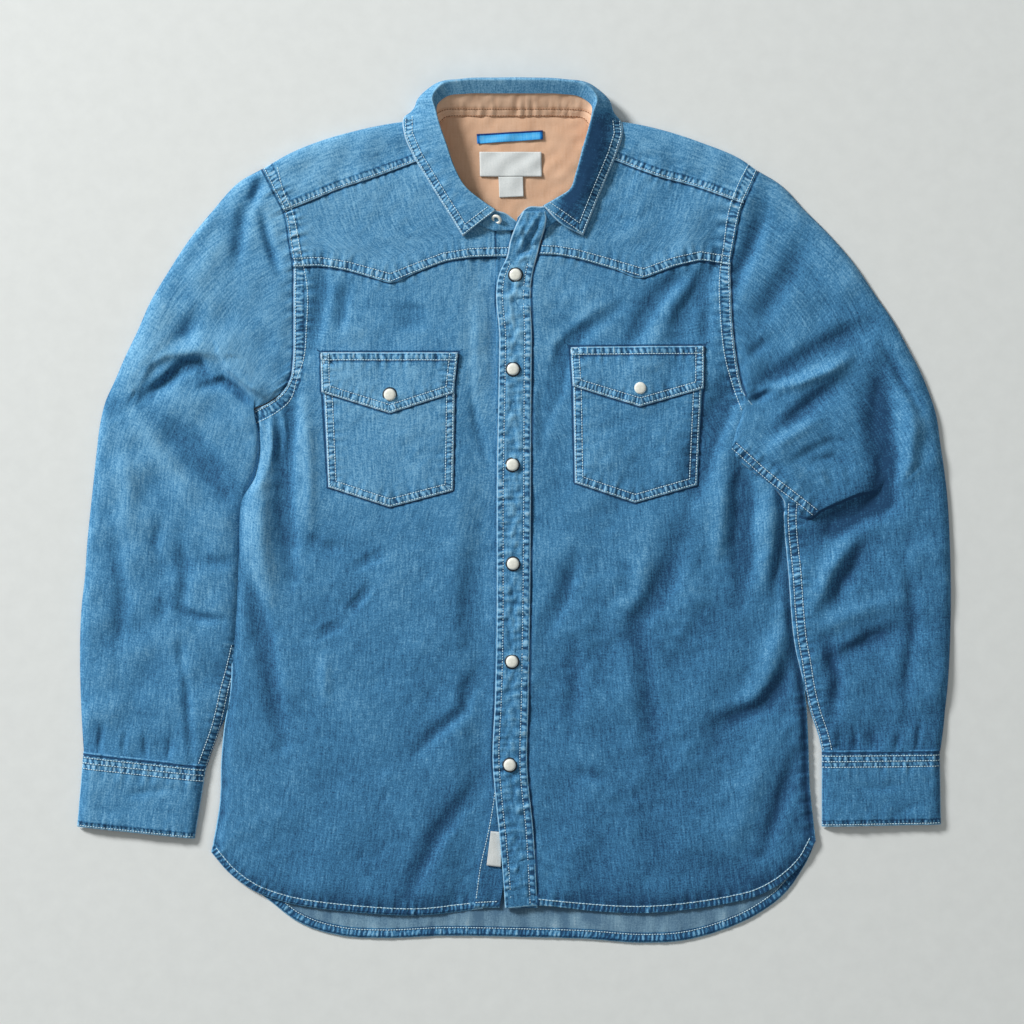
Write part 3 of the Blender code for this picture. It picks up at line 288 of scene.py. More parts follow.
# Folds: height (under 0 for a trough), width on each side of the path (left, right, as it
# is walked), and the path
FINE_FOLDS = (
    (3.4, 9, 11, ((-224, 70), (-228, 20), (-228, -30), (-221, -75))),
    (-3.0, 6, 10, ((-196, 112), (-203, 60), (-204, 0), (-199, -60))),
    (1.7, 6, 6, ((-189, 98), (-185, 60), (-184, 20), (-186, -20))),
    (1.2, 2.2, 2.2, ((-229, 79), (-231, 52), (-228, 26))),
    (1.1, 2.2, 2.2, ((-219, 85), (-217, 60), (-220, 38))),
    (1.1, 2.2, 2.2, ((-209, 92), (-205, 70), (-208, 46))),
    (-0.6, 2.4, 2.4, ((-224, 82), (-224, 56), (-224, 40))),
    (-0.6, 2.4, 2.4, ((-214, 88), (-211, 64), (-214, 46))),
    (-1.0, 3.6, 3.6, ((-202, 100), (-197, 78), (-199, 58))),
    (-1.4, 5, 9, ((-186, -20), (-172, -30), (-152, -35))),
    (-2.4, 7, 10, ((-171, 228), (-172, 190), (-182, 145))),
    (-1.5, 5, 8, ((-150, 205), (-157, 160))),
    (-1.6, 14, 15, ((-90, 190), (-92, 160))),
    (1.5, 12, 6, ((-32, 195), (-32, 145), (-32, 100))),
    (-1.3, 3.5, 3.5, ((-38, 102), (-32, 73), (-22, 42))),
    (-1.5, 10, 10, ((-37, -45), (-40, -120))),
    (-1.9, 5, 7, ((-20, -136), (-41, -161), (-44, -179), (-67, -197), (-87, -217))),
    (-2.1, 6, 9, ((-18, -237), (-49, -268), (-67, -291), (-81, -318), (-96, -350))),
    (-2.4, 7, 10, ((-240, -50), (-230, -89), (-221, -125), (-215, -170), (-208, -208))),
    (-1.5, 16, 14, ((-145, -76), (-135, -84))),
    (-1.4, 12, 14, ((-168, -100), (-162, -112))),
    (-1.3, 12, 14, ((-133, -38), (-127, -50))),
    (1.0, 5, 5, ((-170, -130), (-170, -170))),
    (-3.2, 7, 10, ((160, 222), (136, 199), (118, 172), (108, 148))),
    (-3.0, 8, 8, ((182, 228), (167, 199), (154, 181), (148, 160))),
    (-1.5, 6, 6, ((174, 194), (173, 150))),
    (-3.0, 7, 10, ((93, 184), (59, 159), (46, 145), (41, 118), (28, 91), (22, 60))),
    (1.6, 8, 6, ((96, 192), (62, 172), (38, 150), (32, 120))),
    (-3.8, 9, 14, ((200, 124), (194, 100), (181, 73), (172, 46), (165, 15))),
    (
        -2.1, 9, 11,
        ((160, -4), (145, -44), (136, -71), (113, -98), (112, -111), (118, -134), (122, -170), (131, -230)),
    ),
    (-3.6, 9, 10, ((203, 50), (208, 10), (208, -44), (204, -84))),
    (2.2, 8, 8, ((189, 30), (187, 0), (183, -50))),
    (2.2, 9, 8, ((229, 24), (229, -30), (226, -70))),
    (-2.0, 5, 5, ((244, -6), (239, -44), (235, -74))),
    (-2.6, 7, 8, ((250, -132), (239, -161), (226, -174), (208, -183), (185, -193))),
    (2.2, 9, 8, ((244, -96), (226, -152), (212, -170), (192, -176))),
    (-2.1, 7, 7, ((254, -217), (244, -251), (235, -278), (226, -308))),
    (1.7, 12, 12, ((231, -204), (208, -269), (194, -308))),
    (-1.2, 18, 18, ((187, -88), (166, -118))),
    (-1.9, 6, 9, ((57, -40), (46, -80), (32, -102), (27, -118))),
    (-1.3, 8, 8, ((55, -116), (55, -170), (50, -197))),
    (-1.1, 6, 6, ((53, -233), (88, -243))),
    (-1.0, 8, 8, ((99, -42), (109, -82))),
    (1.3, 10, 10, ((123, -26), (113, -71), (95, -100))),
)
FINE_RIGHT_SLEEVE = (
    (-3.4, 5, 5, ((-227, 302), (-237, 274))),
    (-2.6, 6, 6, ((-242, 282), (-247, 244), (-251, 220))),
    (-2.8, 4, 4, ((-227, 269), (-220, 240), (-211, 214))),
    (-1.1, 9, 9, ((-260, 267), (-292, 222), (-314, 199))),
    (-2.6, 9, 7, ((-284, 183), (-296, 159), (-314, 145), (-332, 127), (-338, 117))),
    (4.2, 13, 4.6, ((-340, 112), (-328, 133), (-312, 142), (-286, 144), (-262, 141))),
    (-4.4, 4, 7, ((-334, 103), (-314, 117), (-298, 131), (-284, 134), (-275, 122))),
    (4.0, 10, 3.2, ((-265, 143), (-256, 128), (-238, 113), (-220, 101))),
    (-3.8, 2.8, 5, ((-280, 113), (-262, 118), (-250, 111), (-233, 94))),
    (-2.6, 12, 10, ((-326, 94), (-295, 58), (-271, 31), (-247, 8))),
    (1.8, 7, 9, ((-342, 84), (-312, 46), (-286, 14))),
    (1.6, 8, 8, ((-352, 60), (-346, 20), (-348, -20))),
    (-1.6, 6, 6, ((-300, -20), (-296, -60), (-300, -100))),
    (-1.5, 7, 7, ((-360, -20), (-352, -80), (-358, -140))),
    (-1.2, 5, 5, ((-289, 75), (-269, 46), (-250, 27))),
    (-1.5, 8, 8, ((-366, 102), (-358, 80))),
    (-1.1, 5, 5, ((-318, -10), (-323, -30), (-320, -46))),
    (-1.3, 6, 6, ((-280, -46), (-253, -46))),
    (-1.5, 7, 7, ((-313, -77), (-321, -100))),
    (-2.0, 4, 4, ((-301, -89), (-283, -96), (-263, -98))),
    (-1.5, 4, 4, ((-296, -140), (-294, -170), (-292, -197), (-289, -226))),
    (-1.0, 4, 4, ((-300, -114), (-299, -145))),
    (-1.3, 2.6, 3, ((-374, -217), (-371, -192))),
    (-1.1, 2.4, 3, ((-352, -219), (-350, -199))),
    (-1.3, 2.4, 3, ((-331, -221), (-333, -203))),
    (-1.1, 2.4, 3, ((-312, -224), (-309, -204))),
)
FINE_LEFT_SLEEVE = (
    (-3.1, 6, 8, ((227, 270), (214, 235), (203, 213), (196, 188))),
    (-2.1, 10, 12, ((264, 243), (250, 215), (232, 190), (213, 162))),
    (-1.4, 5, 5, ((232, 156), (210, 139))),
    (-3.1, 12, 9, ((327, 174), (298, 159), (266, 141), (239, 123), (222, 113))),
    (3.1, 5, 5, ((226, 109), (257, 116), (284, 127), (300, 137))),
    (-3.1, 9, 7, ((304, 124), (289, 114), (266, 96), (244, 78), (233, 67))),
    (-2.6, 3.5, 3.5, ((215, 99), (232, 108))),
    (-2.2, 4, 4, ((330, 150), (343, 132), (352, 114), (366, 90))),
    (4.2, 8, 8, ((353, 108), (358, 73), (356, 46), (346, 16))),
    (-5.0, 9, 11, ((333, 128), (331, 95), (336, 64), (340, 40), (337, 10))),
    (-1.0, 3, 3, ((271, 46), (287, 49), (300, 40), (302, 26))),
    (1.4, 3, 4, ((262, 40), (276, 34), (283, 20))),
    (-0.9, 4, 4, ((246, 42), (262, 52), (282, 62), (301, 64))),
    (1.5, 5, 5, ((232, 58), (252, 70), (272, 82))),
    (-1.5, 4, 4, ((226, 46), (238, 40), (252, 24))),
    (-2.2, 6, 9, ((318, 100), (322, 70), (330, 40), (327, 22))),
    (-4.6, 9, 19, ((350, 24), (332, 6), (308, -7), (290, -16), (268, -24))),
    (-3.1, 10, 8, ((321, -24), (302, -53), (289, -80), (279, -86))),
    (3.1, 8, 8, ((303, -28), (284, -53), (273, -82))),
    (-2.6, 8, 6, ((340, -106), (320, -116), (302, -125), (287, -135))),
    (2.1, 8, 8, ((349, -79), (311, -89), (273, -108))),
    (-1.6, 6, 6, ((352, -40), (361, -98), (356, -134), (352, -190))),
    (-2.6, 5, 7, ((283, -114), (292, -152), (289, -182))),
    (-1.1, 4, 4, ((293, -198), (293, -215))),
    (-1.2, 2.4, 3, ((307, -196), (309, -216))),
    (-1.2, 2.4, 3, ((347, -200), (344, -216))),
    (-1.2, 2.4, 3, ((366, -190), (363, -216))),
    (-1.3, 6, 6, ((322, -196), (326, -216))),
)
# The left sleeve's fold over the body: a broad rise, and the step at its edge
FLAP_FOLDS = (
    (3.4, 30, 30, ((222, 64), (262, 64), (290, 62))),
    (
        3.2, 30, 1.3,
        (
            (196, 52), (231, 24), (265, -5), (275, 1), (292, 9), (312, 17), (328, 19), (336, 34),
            (337, 52),
        ),
    ),
)
CUFF_FOLDS = (
    (-1.2, 4, 4, ((-352, -257), (-330, -252), (-305, -250))),
    (-1.0, 5, 5, ((-376, -262), (-360, -274))),
    (-1.1, 4, 4, ((300, -246), (330, -250), (352, -244))),
    (-1.0, 5, 5, ((362, -264), (344, -272))),
)

# The second row of stitches round each armhole, from the shoulder down: x, y
RIGHT_ARMHOLE_ROW = (
    (-213, 310), (-208, 290), (-200, 271), (-192, 233), (-186, 199), (-187, 167), (-190, 135),
    (-195, 121), (-202, 100), (-216, 88), (-233.5, 79),
)
LEFT_ARMHOLE_ROW = (
    (211.5, 313), (202, 295), (193.5, 271), (189, 240.5), (185, 207), (186, 175), (191, 135),
    (198.5, 110), (205, 91),
)
# The right sleeve's seam runs in under the body's side: x, y
RIGHT_SLEEVE_SEAM = (
    (-246.5, -122), (-251, -141), (-256, -160), (-260.5, -181), (-265.3, -198.5), (-270.8, -214),
    (-276.6, -230),
)
# The edge of the left sleeve's fold, where its seam shows, and the crease below it: x, y
FLAP_EDGE = ((195, 56), (231, 24), (250, 9.5), (268, -4.5))
FLAP_CREASE = ((262, -6), (266, -7), (275, -0.5), (292, 7.4), (310, 14.8), (322, 17))
# The body's edge under that fold: y, x
FLAP_REST = (
    (-10, 246), (20, 242), (50, 238), (78, 235.5), (84, 236), (95, 216), (107, 207), (122, 203),
)
# Rows of stitches down a cuff: distance from its top, pucker, band, tick
CUFF_ROWS = ((3.0, 0.3, 2.6, 5), (7.8, 0.4, 4.6, 5), (12.9, 0.4, 4.8, 5), (64.4, 0.4, 3.2, 4))
CUFF_LENGTH = 66

# The yoke over a shoulder: distance in from the fold, height
FINE_SHOULDER = (
    (2.2, 0), (0.9, 0.5), (0.2, 1.4), (0, 2.6), (0.25, 3.9), (0.9, 5.0), (2, 6.1), (3.5, 7.0),
    (5.5, 7.7), (8.5, 8.3), (12, 8.7),
)

# Rings of the collar from its right front end round the neck: x, y, z of the crest, of the
# fall's bulge, of its edge, and of the seam in the neck
COLLAR = (
    (-16, 270.5, 13, -31, 259.5, 13.2, -46, 247.5, 10.4, -17, 252.5, 8.2),
    (-28, 278.5, 14.5, -41, 271.5, 14.5, -56, 264, 10.4, -31, 258, 8.4),
    (-44, 292, 17, -55, 286.5, 15.5, -67, 281, 10.4, -47, 270, 8.4),
    (-53.5, 309, 19, -65, 304, 16.5, -78, 299, 10.4, -58, 289, 8.4),
    (-60, 328, 20.5, -75, 322, 17, -89.5, 318, 10.6, -65, 312, 8.0),
    (-66, 345, 21.5, -82, 341, 16.5, -98.6, 339, 11.2, -68, 334, 7.0),
    (-70, 359, 22, -86, 360, 14, -98.5, 355.5, 7.5, -67, 348, 5.2),
    (-73, 371, 22, -87, 370, 11, -84, 362, 0.3, -62, 354, 4.4),
    (-66, 382, 21.5, -72, 383.5, 10, -66, 366, 0.3, -52, 355.5, 4.2),
    (-46, 386.5, 21, -47, 388.6, 10, -46, 364, 0.3, -38, 355.5, 4.2),
    (-16, 387, 20.5, -16, 389.9, 10, -16, 362, 0.3, -13, 355.5, 4.2),
    (16, 387, 20.5, 16, 389.9, 10, 16, 362, 0.3, 13, 355.5, 4.2),
    (44, 386.2, 21, 44.5, 388.4, 10, 44, 364, 0.3, 38, 355.5, 4.2),
    (66, 381, 21.5, 71, 382.8, 10, 66, 366, 0.3, 52, 355, 4.2),
    (74, 370, 22, 86, 369, 11, 84, 362, 0.3, 62, 353.5, 4.4),
    (70, 356, 22, 86, 355, 14, 96, 352, 6.5, 67, 347, 5.2),
    (66.5, 343, 21.5, 82, 340, 16.5, 97.4, 339, 10.2, 68, 333, 7.0),
    (61.5, 326, 20.5, 76, 322, 17, 91.5, 320, 10.6, 65, 311, 8.0),
    (55.5, 304, 19, 70, 302, 16.5, 84, 302, 10.4, 60, 291, 8.4),
    (50, 289, 17.5, 63, 285, 16, 76, 283, 10.4, 52, 274, 9.0),
    (39, 281.5, 16, 53, 274, 15.5, 69, 265.5, 11.2, 41, 263, 9.8),
    (26, 274, 15, 41.5, 258.5, 14.8, 62, 248, 11.6, 26, 254.5, 10.4),
)
LIP_SHARE = 0.38  # how far the fall reaches down the inside, from crest to neck seam

# The stand's ends past the collar: top x, y, z; seam x, y, z
STAND_RIGHT_END = ((3.5, 260, 8.3, 2, 253, 8.0), (-8, 268, 10.6, -9, 252.8, 8.2))
STAND_LEFT_END = ((13, 273, 13.6, 14, 254.5, 10.8), (3.4, 264, 12.8, 1, 254, 10.8))

# Small pieces in the neck and at the hem: corners, from the lower left, round: x, y
HANGER_LOOP = ((-33, 331.5), (26, 335.5), (25.8, 343.5), (-33.5, 340))
NECK_LABEL = ((-30.5, 302), (25, 302), (24.6, 324), (-31, 324))
SIZE_LABEL = ((-13, 283), (8.5, 284), (8, 301.5), (-13.8, 301.5))
HEM_TAG = ((-24.5, -318.5), (-12.0, -320), (-11.0, -289), (-20.8, -288))

YOKE_SEAM = 246  # where the back yoke meets the back panel
YOKE_FLOOR_ENDS = ((-202.4, YOKE_SEAM, 0), (199, YOKE_SEAM, 0))
LINING_X = (-70, 70)
LINING_Y = (240, 356)
STAND_FRONT = 285  # the stand is denim before this y
STAND_BACK = 330  # and creased, with painted shade in its creases, and paler behind this one

# The snaps: the caps' profile from the outer edge of the painted shadow round them to the middle,
# and the open ring's: radius, height
SNAP_STEPS = 40
SNAP_CAP = (
    (6.9, -0.6), (6.8, 0.2), (6.3, 0.5), (5.5, 0.6), (5.45, 0.6), (5.4, 1.5), (5.1, 2.2), (4.5, 2.7),
    (3.5, 2.95), (2.2, 3.1), (0.9, 3.16), (0.001, 3.18),
)
# rows of a cap's faces that are a near-black ring of painted shadow
SNAP_SHADOW_ROWS = 4
SNAP_RING = ((2.4, 0.2), (2.4, 1.2), (2.8, 1.5), (4.1, 1.6), (4.9, 1.1), (4.9, 0), (2.4, 0.2))
NECK_RING = (-15.5, 262.5, 12.2)
NECK_RING_AXIS = (-0.5, -0.9, 1)


# Lines and heights


def cubic(knots, values, at):
    """Values at the places `at` on a smooth line through the knots."""
    knots = np.asarray(knots, float)
    values = np.asarray(values, float)
    single = values.ndim == 1
    if single:
        values = values[:, None]
    steps = np.diff(knots)[:, None]
    rates = np.diff(values, axis=0) / steps
    slopes = np.empty_like(values)
    slopes[0], slopes[-1] = rates[0], rates[-1]
    slopes[1:-1] = (rates[:-1] * steps[1:] + rates[1:] * steps[:-1]) / (steps[1:] + steps[:-1])
    shape = np.shape(at)
    place = np.clip(np.ravel(at), knots[0], knots[-1])
    cell = np.clip(np.searchsorted(knots, place, side="right") - 1, 0, len(knots) - 2)
    step = steps[cell]
    share = (place - knots[cell])[:, None] / step
    rest = 1 - share
    result = (
        (1 + 2 * share) * rest**2 * values[cell]
        + share * rest**2 * step * slopes[cell]
        + share**2 * (3 - 2 * share) * values[cell + 1]
        - share**2 * rest * step * slopes[cell + 1]
    )
    return result.reshape(shape if single else (*shape, values.shape[1]))


def steps_of(points):
    """Lengths of a line's steps."""
    return np.linalg.norm(np.diff(points, axis=0), axis=1)


def summed(lengths):
    """Distance to each point of a line whose steps have these lengths."""
    return np.concatenate([[0], np.cumsum(lengths)])


def along(points, shares):
    """Points at these shares of a smooth line through the given points."""
    points = np.asarray(points, float)
    lengths = steps_of(points)
    return cubic(summed(lengths), points, np.asarray(shares) * lengths.sum())


def shares_of(points):
    """Each point's share of the length of the line that they make."""
    lengths = steps_of(points)
    return summed(lengths) / lengths.sum()


def points_at(line, knots, places):
    """Points at these places of a line with straight steps."""
    return np.column_stack([np.interp(places, knots, column) for column in line.T])


def side_at(table, y):
    """x on an edge that is given by rows of y and x."""
    return cubic(*np.array(table, float).T, y)


def side_points(table, ys):
    """Points x, y on an edge that is given by rows of y and x."""
    return np.stack([side_at(table, ys), np.asarray(ys, float)], axis=-1)


def evenly(count):
    """Even shares from 0 to 1."""
    return np.linspace(0, 1, count)


def smooth(value):
    """0 up to 0, 1 from 1 on, and smooth between them."""
    value = np.clip(value, 0, 1)
    return value * value * (3 - 2 * value)


def bell(distance, width):
    """1 at no distance, and next to nothing at twice the width."""
    return np.exp(-((distance / width) ** 2))


def shifted_line(points, distance):
    """The line moved to its left by this distance, its segments kept parallel."""
    points = np.asarray(points, float)
    runs = np.diff(points, axis=0)
    runs /= np.linalg.norm(runs, axis=1)[:, None]
    normals = np.stack([-runs[:, 1], runs[:, 0]], axis=1)
    first = np.vstack([normals[:1], normals])
    second = np.vstack([normals, normals[-1:]])
    mitre = (first + second) / (1 + (first * second).sum(axis=1))[:, None]
    return points + mitre * distance


def shifted(points, distance):
    """A smooth line through the points, moved to its left."""
    return shifted_line(along(points, evenly(40)), distance)


def clipped(line, low, high):
    """The part of an upward line between two heights."""
    inside = line[(line[:, 1] > low + 0.5) & (line[:, 1] < high - 0.5)]
    ends = [(np.interp(y, line[:, 1], line[:, 0]), y) for y in (low, high)]
    return np.vstack([ends[0], inside, ends[1]])


def dense(points, straight=False):
    """Points one millimetre apart on a smooth or straight line."""
    points = np.asarray(points, float)
    shares = evenly(max(int(steps_of(points).sum()), 2) + 1)
    return points_at(points, shares_of(points), shares) if straight else along(points, shares)


def filled(bottom, top, left, right):
    """Rows by columns of points inside four edges that share their corners."""
    across = shares_of(bottom)[None, :, None]
    up = shares_of(left)[:, None, None]
    sides = (1 - across) * left[:, None] + across * right[:, None]
    ends = (1 - up) * bottom[None] + up * top[None]
    corners = (1 - up) * ((1 - across) * bottom[0] + across * bottom[-1])
    corners = corners + up * ((1 - across) * top[0] + across * top[-1])
    return sides + ends - corners


def between(first, second, rows):
    """Rows of points from one line of points to another, at these shares of the way."""
    rows = np.reshape(rows, (-1, 1, 1))
    return first[None] * (1 - rows) + second[None] * rows


def fold_height(x, y, folds):
    """Sum of the folds at these places; each is at its full height but for its ends."""
    total = np.zeros(np.shape(x))
    for height, left_width, right_width, path in folds:
        path = np.asarray(path, float)
        lengths = steps_of(path)
        starts = summed(lengths)
        runs = np.diff(path, axis=0) / lengths[:, None]
        nearest = np.full(np.shape(x), np.inf)
        place = side = np.zeros(np.shape(x))
        for start, length, corner, run in zip(starts, lengths, path, runs):
            dx = x - corner[0]
            dy = y - corner[1]
            here = np.clip(dx * run[0] + dy * run[1], 0, length)
            away = np.hypot(dx - here * run[0], dy - here * run[1])
            closer = away < nearest
            nearest = np.where(closer, away, nearest)
            place = np.where(closer, start + here, place)
            side = np.where(closer, run[0] * dy - run[1] * dx, side)
        width = np.where(side > 0, left_width, right_width)
        share = place / starts[-1]
        ends = smooth(share / FOLD_END) * smooth((1 - share) / FOLD_END)
        total += height * (FOLD_END_HEIGHT + (1 - FOLD_END_HEIGHT) * ends) * bell(nearest, width)
    return total


def rough(x, y, size, seed):
    """Smooth noise, mostly from -1 to 1, with features of this size in millimetres."""
    spin = np.random.default_rng(seed)
    total = np.zeros(np.shape(x))
    for _ in range(ROUGH_WAVES):
        angle = spin.uniform(0, TURN)
        wave = size * spin.uniform(0.7, 1.6)
        phase = spin.uniform(0, TURN)
        total += np.sin(TURN * (x * np.cos(angle) + y * np.sin(angle)) / wave + phase)
    return total / np.sqrt(ROUGH_WAVES / 2) / 1.6


def wavering(place, seed):
    """Uneven waves along a seam, from -1 to 1."""
    spin = np.random.default_rng(seed)
    total = np.zeros(np.shape(place))
    for _ in range(SEAM_WAVES):
        wave = PUCKER_LENGTH * spin.uniform(0.62, 1.9)
        total += np.sin(TURN * place / wave + spin.uniform(0, TURN))
    return total / np.sqrt(SEAM_WAVES)


# Seams in the cloth


class Seam:
    """A row of stitches or a line of painted shadow, and what it does to the cloth round it.

    on names the CAD nodes that the row is sewn through, its own piece last; band is the other
    edge of the seam's double cloth, to the left of the line; painted_shadow is how dark the line
    is painted, as the shadow where one piece meets or lies over another, and below 0 a pale line;
    tick is how far apart the crests across the band are; pitch is the length of a stitch with
    its gap; cover is how much of the row is thread. Each seam's number is the seed of its waves.
    """

    count = 10

    def __init__(
        self, points, on=(), pucker=0.4, band=0, painted_shadow=0, tick=4.2, pitch=2.4, cover=0.8, straight=False
    ):
        Seam.count += 1
        self.seed = Seam.count
        self.on, self.pucker, self.band, self.painted_shadow = on, pucker, band, painted_shadow
        self.tick, self.pitch, self.cover = tick, pitch, cover
        self.line = dense(points, straight)
        runs = np.gradient(self.line, axis=0)
        self.run = runs / np.linalg.norm(runs, axis=1)[:, None]
        self.low = self.line.min(axis=0) - SEAM_REACH
        self.high = self.line.max(axis=0) + SEAM_REACH

    def nearest(self, x, y):
        """Index of the line's nearest point to each place."""
        index = np.empty(len(x), int)
        for start in range(0, len(x), AT_ONCE):
            dx = x[start : start + AT_ONCE, None] - self.line[None, :, 0]
            dy = y[start : start + AT_ONCE, None] - self.line[None, :, 1]
            index[start : start + AT_ONCE] = (dx * dx + dy * dy).argmin(axis=1)
        return index

    def add(self, x, y, cells):
        """Adds the seam to the cells of add_seams."""
        near = (x > self.low[0]) & (x < self.high[0]) & (y > self.low[1]) & (y < self.high[1])
        near = np.flatnonzero(near)
        index = self.nearest(x[near], y[near])
        dx = x[near] - self.line[index, 0]
        dy = y[near] - self.line[index, 1]
        run = self.run[index]
        left = run[:, 0] * dy - run[:, 1] * dx
        place = index + dx * run[:, 0] + dy * run[:, 1]
        beyond = np.maximum(-place, place - len(self.line) + 1)
        across = np.where(beyond > 0, np.hypot(dx, dy), np.abs(left))
        pucker = self.pucker * wavering(place, self.seed) * bell(across, PUCKER_REACH)
        cells[near, 0] += pucker - THREAD_DEPTH * (self.pucker > 0) * bell(across, THREAD_REACH)
        cells[near, 1] += 0.5 * pucker
        if self.band:
            width = abs(self.band)
            side = left * np.sign(self.band)
            out = np.maximum(np.maximum(-side, side - width), 3 * beyond)
            ticks = place * 4 / self.tick + 90 * self.seed
            self.mark(cells, near, out, {2: ticks, 3: side, 4: width * (out < 5.0), 7: out})
        if self.painted_shadow:
            dark = self.painted_shadow * (1 - smooth((across - 3) / 4))
            self.mark(cells, near, across, {5: left, 6: dark, 8: across})

    def mark(self, cells, near, distance, found):
        """Writes what was found where this seam is nearer than those before it."""
        better = distance < cells[near, max(found)]
        for column, values in found.items():
            cells[near[better], column] = values[better]


def add_seams(x, y, z, seams):
    """The heights with the seams in them, the wear, and the marks that the cloth's material draws.

    The marks are the place along the nearest band, the distance into it, its width, the
    distance from the nearest line of painted shadow, and how dark that is. The cells hold height,
    wear, the marks, and how far off the nearest band and the nearest shadow line are.
    """
    cells = np.zeros((np.size(x), 2 + MARKS + 2))
    cells[:, 0] = np.ravel(z)
    cells[:, -2:] = FAR
    for seam in seams:
        seam.add(np.ravel(x), np.ravel(y), cells)
    cells = cells.reshape(*np.shape(x), -1)
    return cells[..., 0], cells[..., 1], cells[..., 2 : 2 + MARKS]


# Meshes


def smooth_mesh(name, points, faces, materials, data=None):
    """An object of smooth faces, with what its cloth's material reads at each point.

    data holds wear with painted light and shade, the place across and along the cloth, the
    seams' marks, and the distance from the rim.
    """
    points = np.array(points, float)
    if data is not None:
        points[:, 2] = np.maximum(points[:, 2], 0)
    mesh = bpy.data.meshes.new(name)
    mesh.from_pydata((points * MM).tolist(), [], faces.tolist())
    mesh.polygons.foreach_set("use_smooth", np.ones(len(mesh.polygons), bool))
    if data is not None:
        # painted light: the whole shirt is paler to the collar and to its right, toward the key light, and
        # darker away from it
        wear = data[:, 0] + 1.25 * (0.001 * (points[:, 1] - 30) - 0.0005 * points[:, 0])
        mesh.attributes.new("wear", "FLOAT", "POINT").data.foreach_set("value", wear.astype(np.float32))
        cloth = np.column_stack([data[:, 1:3] * MM, np.zeros(len(data))])
        for label, values in (("cloth", cloth), ("seam", data[:, 3:6]), ("edge", data[:, [8, 6, 7]])):
            made = mesh.attributes.new(label, "FLOAT_VECTOR", "POINT")
            made.data.foreach_set("vector", np.ravel(values).astype(np.float32))
    for material in materials:
        mesh.materials.append(material)
    TREES[name.removesuffix("_cloth")] = BVHTree.FromPolygons(points.tolist(), faces.tolist())
    made = bpy.data.objects.new(name, mesh)
    bpy.context.scene.collection.objects.link(made)
    return made


def grid_faces(rows, columns, loop=False):
    """Faces of a grid; with loop, its last column meets its first."""
    row = np.arange(rows - 1)[:, None] * columns
    column = np.arange(columns if loop else columns - 1)[None, :]
    here, after = row + column, row + (column + 1) % columns
    return np.stack([here, after, after + columns, here + columns], axis=-1).reshape(-1, 4)


def end_faces(rows, columns):
    """Faces that close both ends of a flat tube, whose second half of columns runs back."""
    column = np.arange(columns // 2 - 1)
    strip = np.stack([column, column + 1, columns - 2 - column, columns - 1 - column], axis=-1)
    return np.vstack([strip[:, ::-1], strip + (rows - 1) * columns])


def cloth_plan(plan):
    """Distances along and across a grid, for the grain of its cloth."""
    across = np.linalg.norm(np.diff(plan[..., :2], axis=1), axis=2)
    up = np.linalg.norm(np.diff(plan[..., :2], axis=0), axis=2)
    u = np.concatenate([np.zeros((len(plan), 1)), np.cumsum(across, axis=1)], axis=1)
    u -= u.mean(axis=1, keepdims=True)
    v = np.concatenate([np.zeros((1, plan.shape[1])), np.cumsum(up, axis=0)], axis=0)
    return np.stack([u, np.broadcast_to(v.mean(axis=1, keepdims=True), u.shape)], axis=-1)


def from_side(grid, side):
    """The grid turned so that this side (b, t, l or r) is its first row."""
    grid = grid.swapaxes(0, 1) if side in "lr" else grid
    return grid[::-1] if side in "tr" else grid


def turned_back(grid, side):
    """A grid that from_side has turned, in its own order again."""
    grid = grid[::-1] if side in "tr" else grid
    return grid.swapaxes(0, 1) if side in "lr" else grid


def padded_edge(points, sides, drop, out=0.35):
    """The grid with the named sides turned down by this much, and out a little."""
    for side in sides:
        turned = from_side(points, side)
        away = turned[0] - turned[1]
        away[:, 2] = 0
        away /= np.maximum(np.linalg.norm(away, axis=1), 1e-6)[:, None]
        first = turned[0]
        for share_out, share_down in ((0.7, 0.3), (1, 1)):
            row = first + away * out * share_out
            row[:, 2] -= drop * share_down
            turned = np.concatenate([row[None], turned])
        points = turned_back(turned, side)
    return points


def raised(plan, z):
    """The plan's points at these heights."""
    return np.concatenate([plan, z[..., None]], axis=-1)


def dressed(points, worn_and_shaded=0, marks=0, sides="", turned_cloth=False):
    """A grid of points with all that its cloth's material reads; sides are its worn edges."""
    shape = points.shape[:2]
    rim = np.full(shape, NO_RIM)
    for side in sides:
        turned = from_side(points, side)
        away = np.linalg.norm(turned - turned[:1], axis=2)
        rim = np.minimum(rim, turned_back(away, side))
    cloth = cloth_plan(points)
    cloth = cloth[..., ::-1] if turned_cloth else cloth
    worn_and_shaded = np.broadcast_to(worn_and_shaded, shape)[..., None]
    marks = np.broadcast_to(marks, (*shape, MARKS))
    return np.concatenate([points, worn_and_shaded, cloth, marks, rim[..., None]], axis=-1)


def finish_piece(made, node=None):
    """Puts the piece on the root body and hides the CAD node that it stands in for."""
    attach(made, "root")
    if not node:
        return
    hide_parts(node)


def cloth_piece(node, grid, faces=None, materials=None):
    """The cloth of a CAD node: denim, if no other material is named."""
    faces = grid_faces(*grid.shape[:2]) if faces is None else faces
    flat = grid.reshape(-1, grid.shape[-1])
    made = smooth_mesh(node + "_cloth", flat[:, :3], faces, materials or [DENIM], flat[:, 3:])
    finish_piece(made, node)
    return made


def laid_piece(node, plan, height, sides="btlr", drop=1.4, rim=None, materials=None):
    """A sheet over its plan: the height function gives each point's height, wear and painted shade, and
    marks.
    """
    z, worn_and_shaded, marks = height(plan[..., 0], plan[..., 1])
    grid = dressed(raised(plan, z), worn_and_shaded, marks, sides if rim is None else rim)
    cloth_piece(node, padded_edge(grid, sides, drop), None, materials)


# Materials


def connect(node, **sockets):
    """Links or sets a node's sockets, by name or by _number."""
    for key, value in sockets.items():
        socket = node.inputs[int(key[1:]) if key[0] == "_" else key.replace("_", " ")]
        if isinstance(value, bpy.types.NodeSocket):
            node.id_data.links.new(value, socket)
        else:
            socket.default_value = value


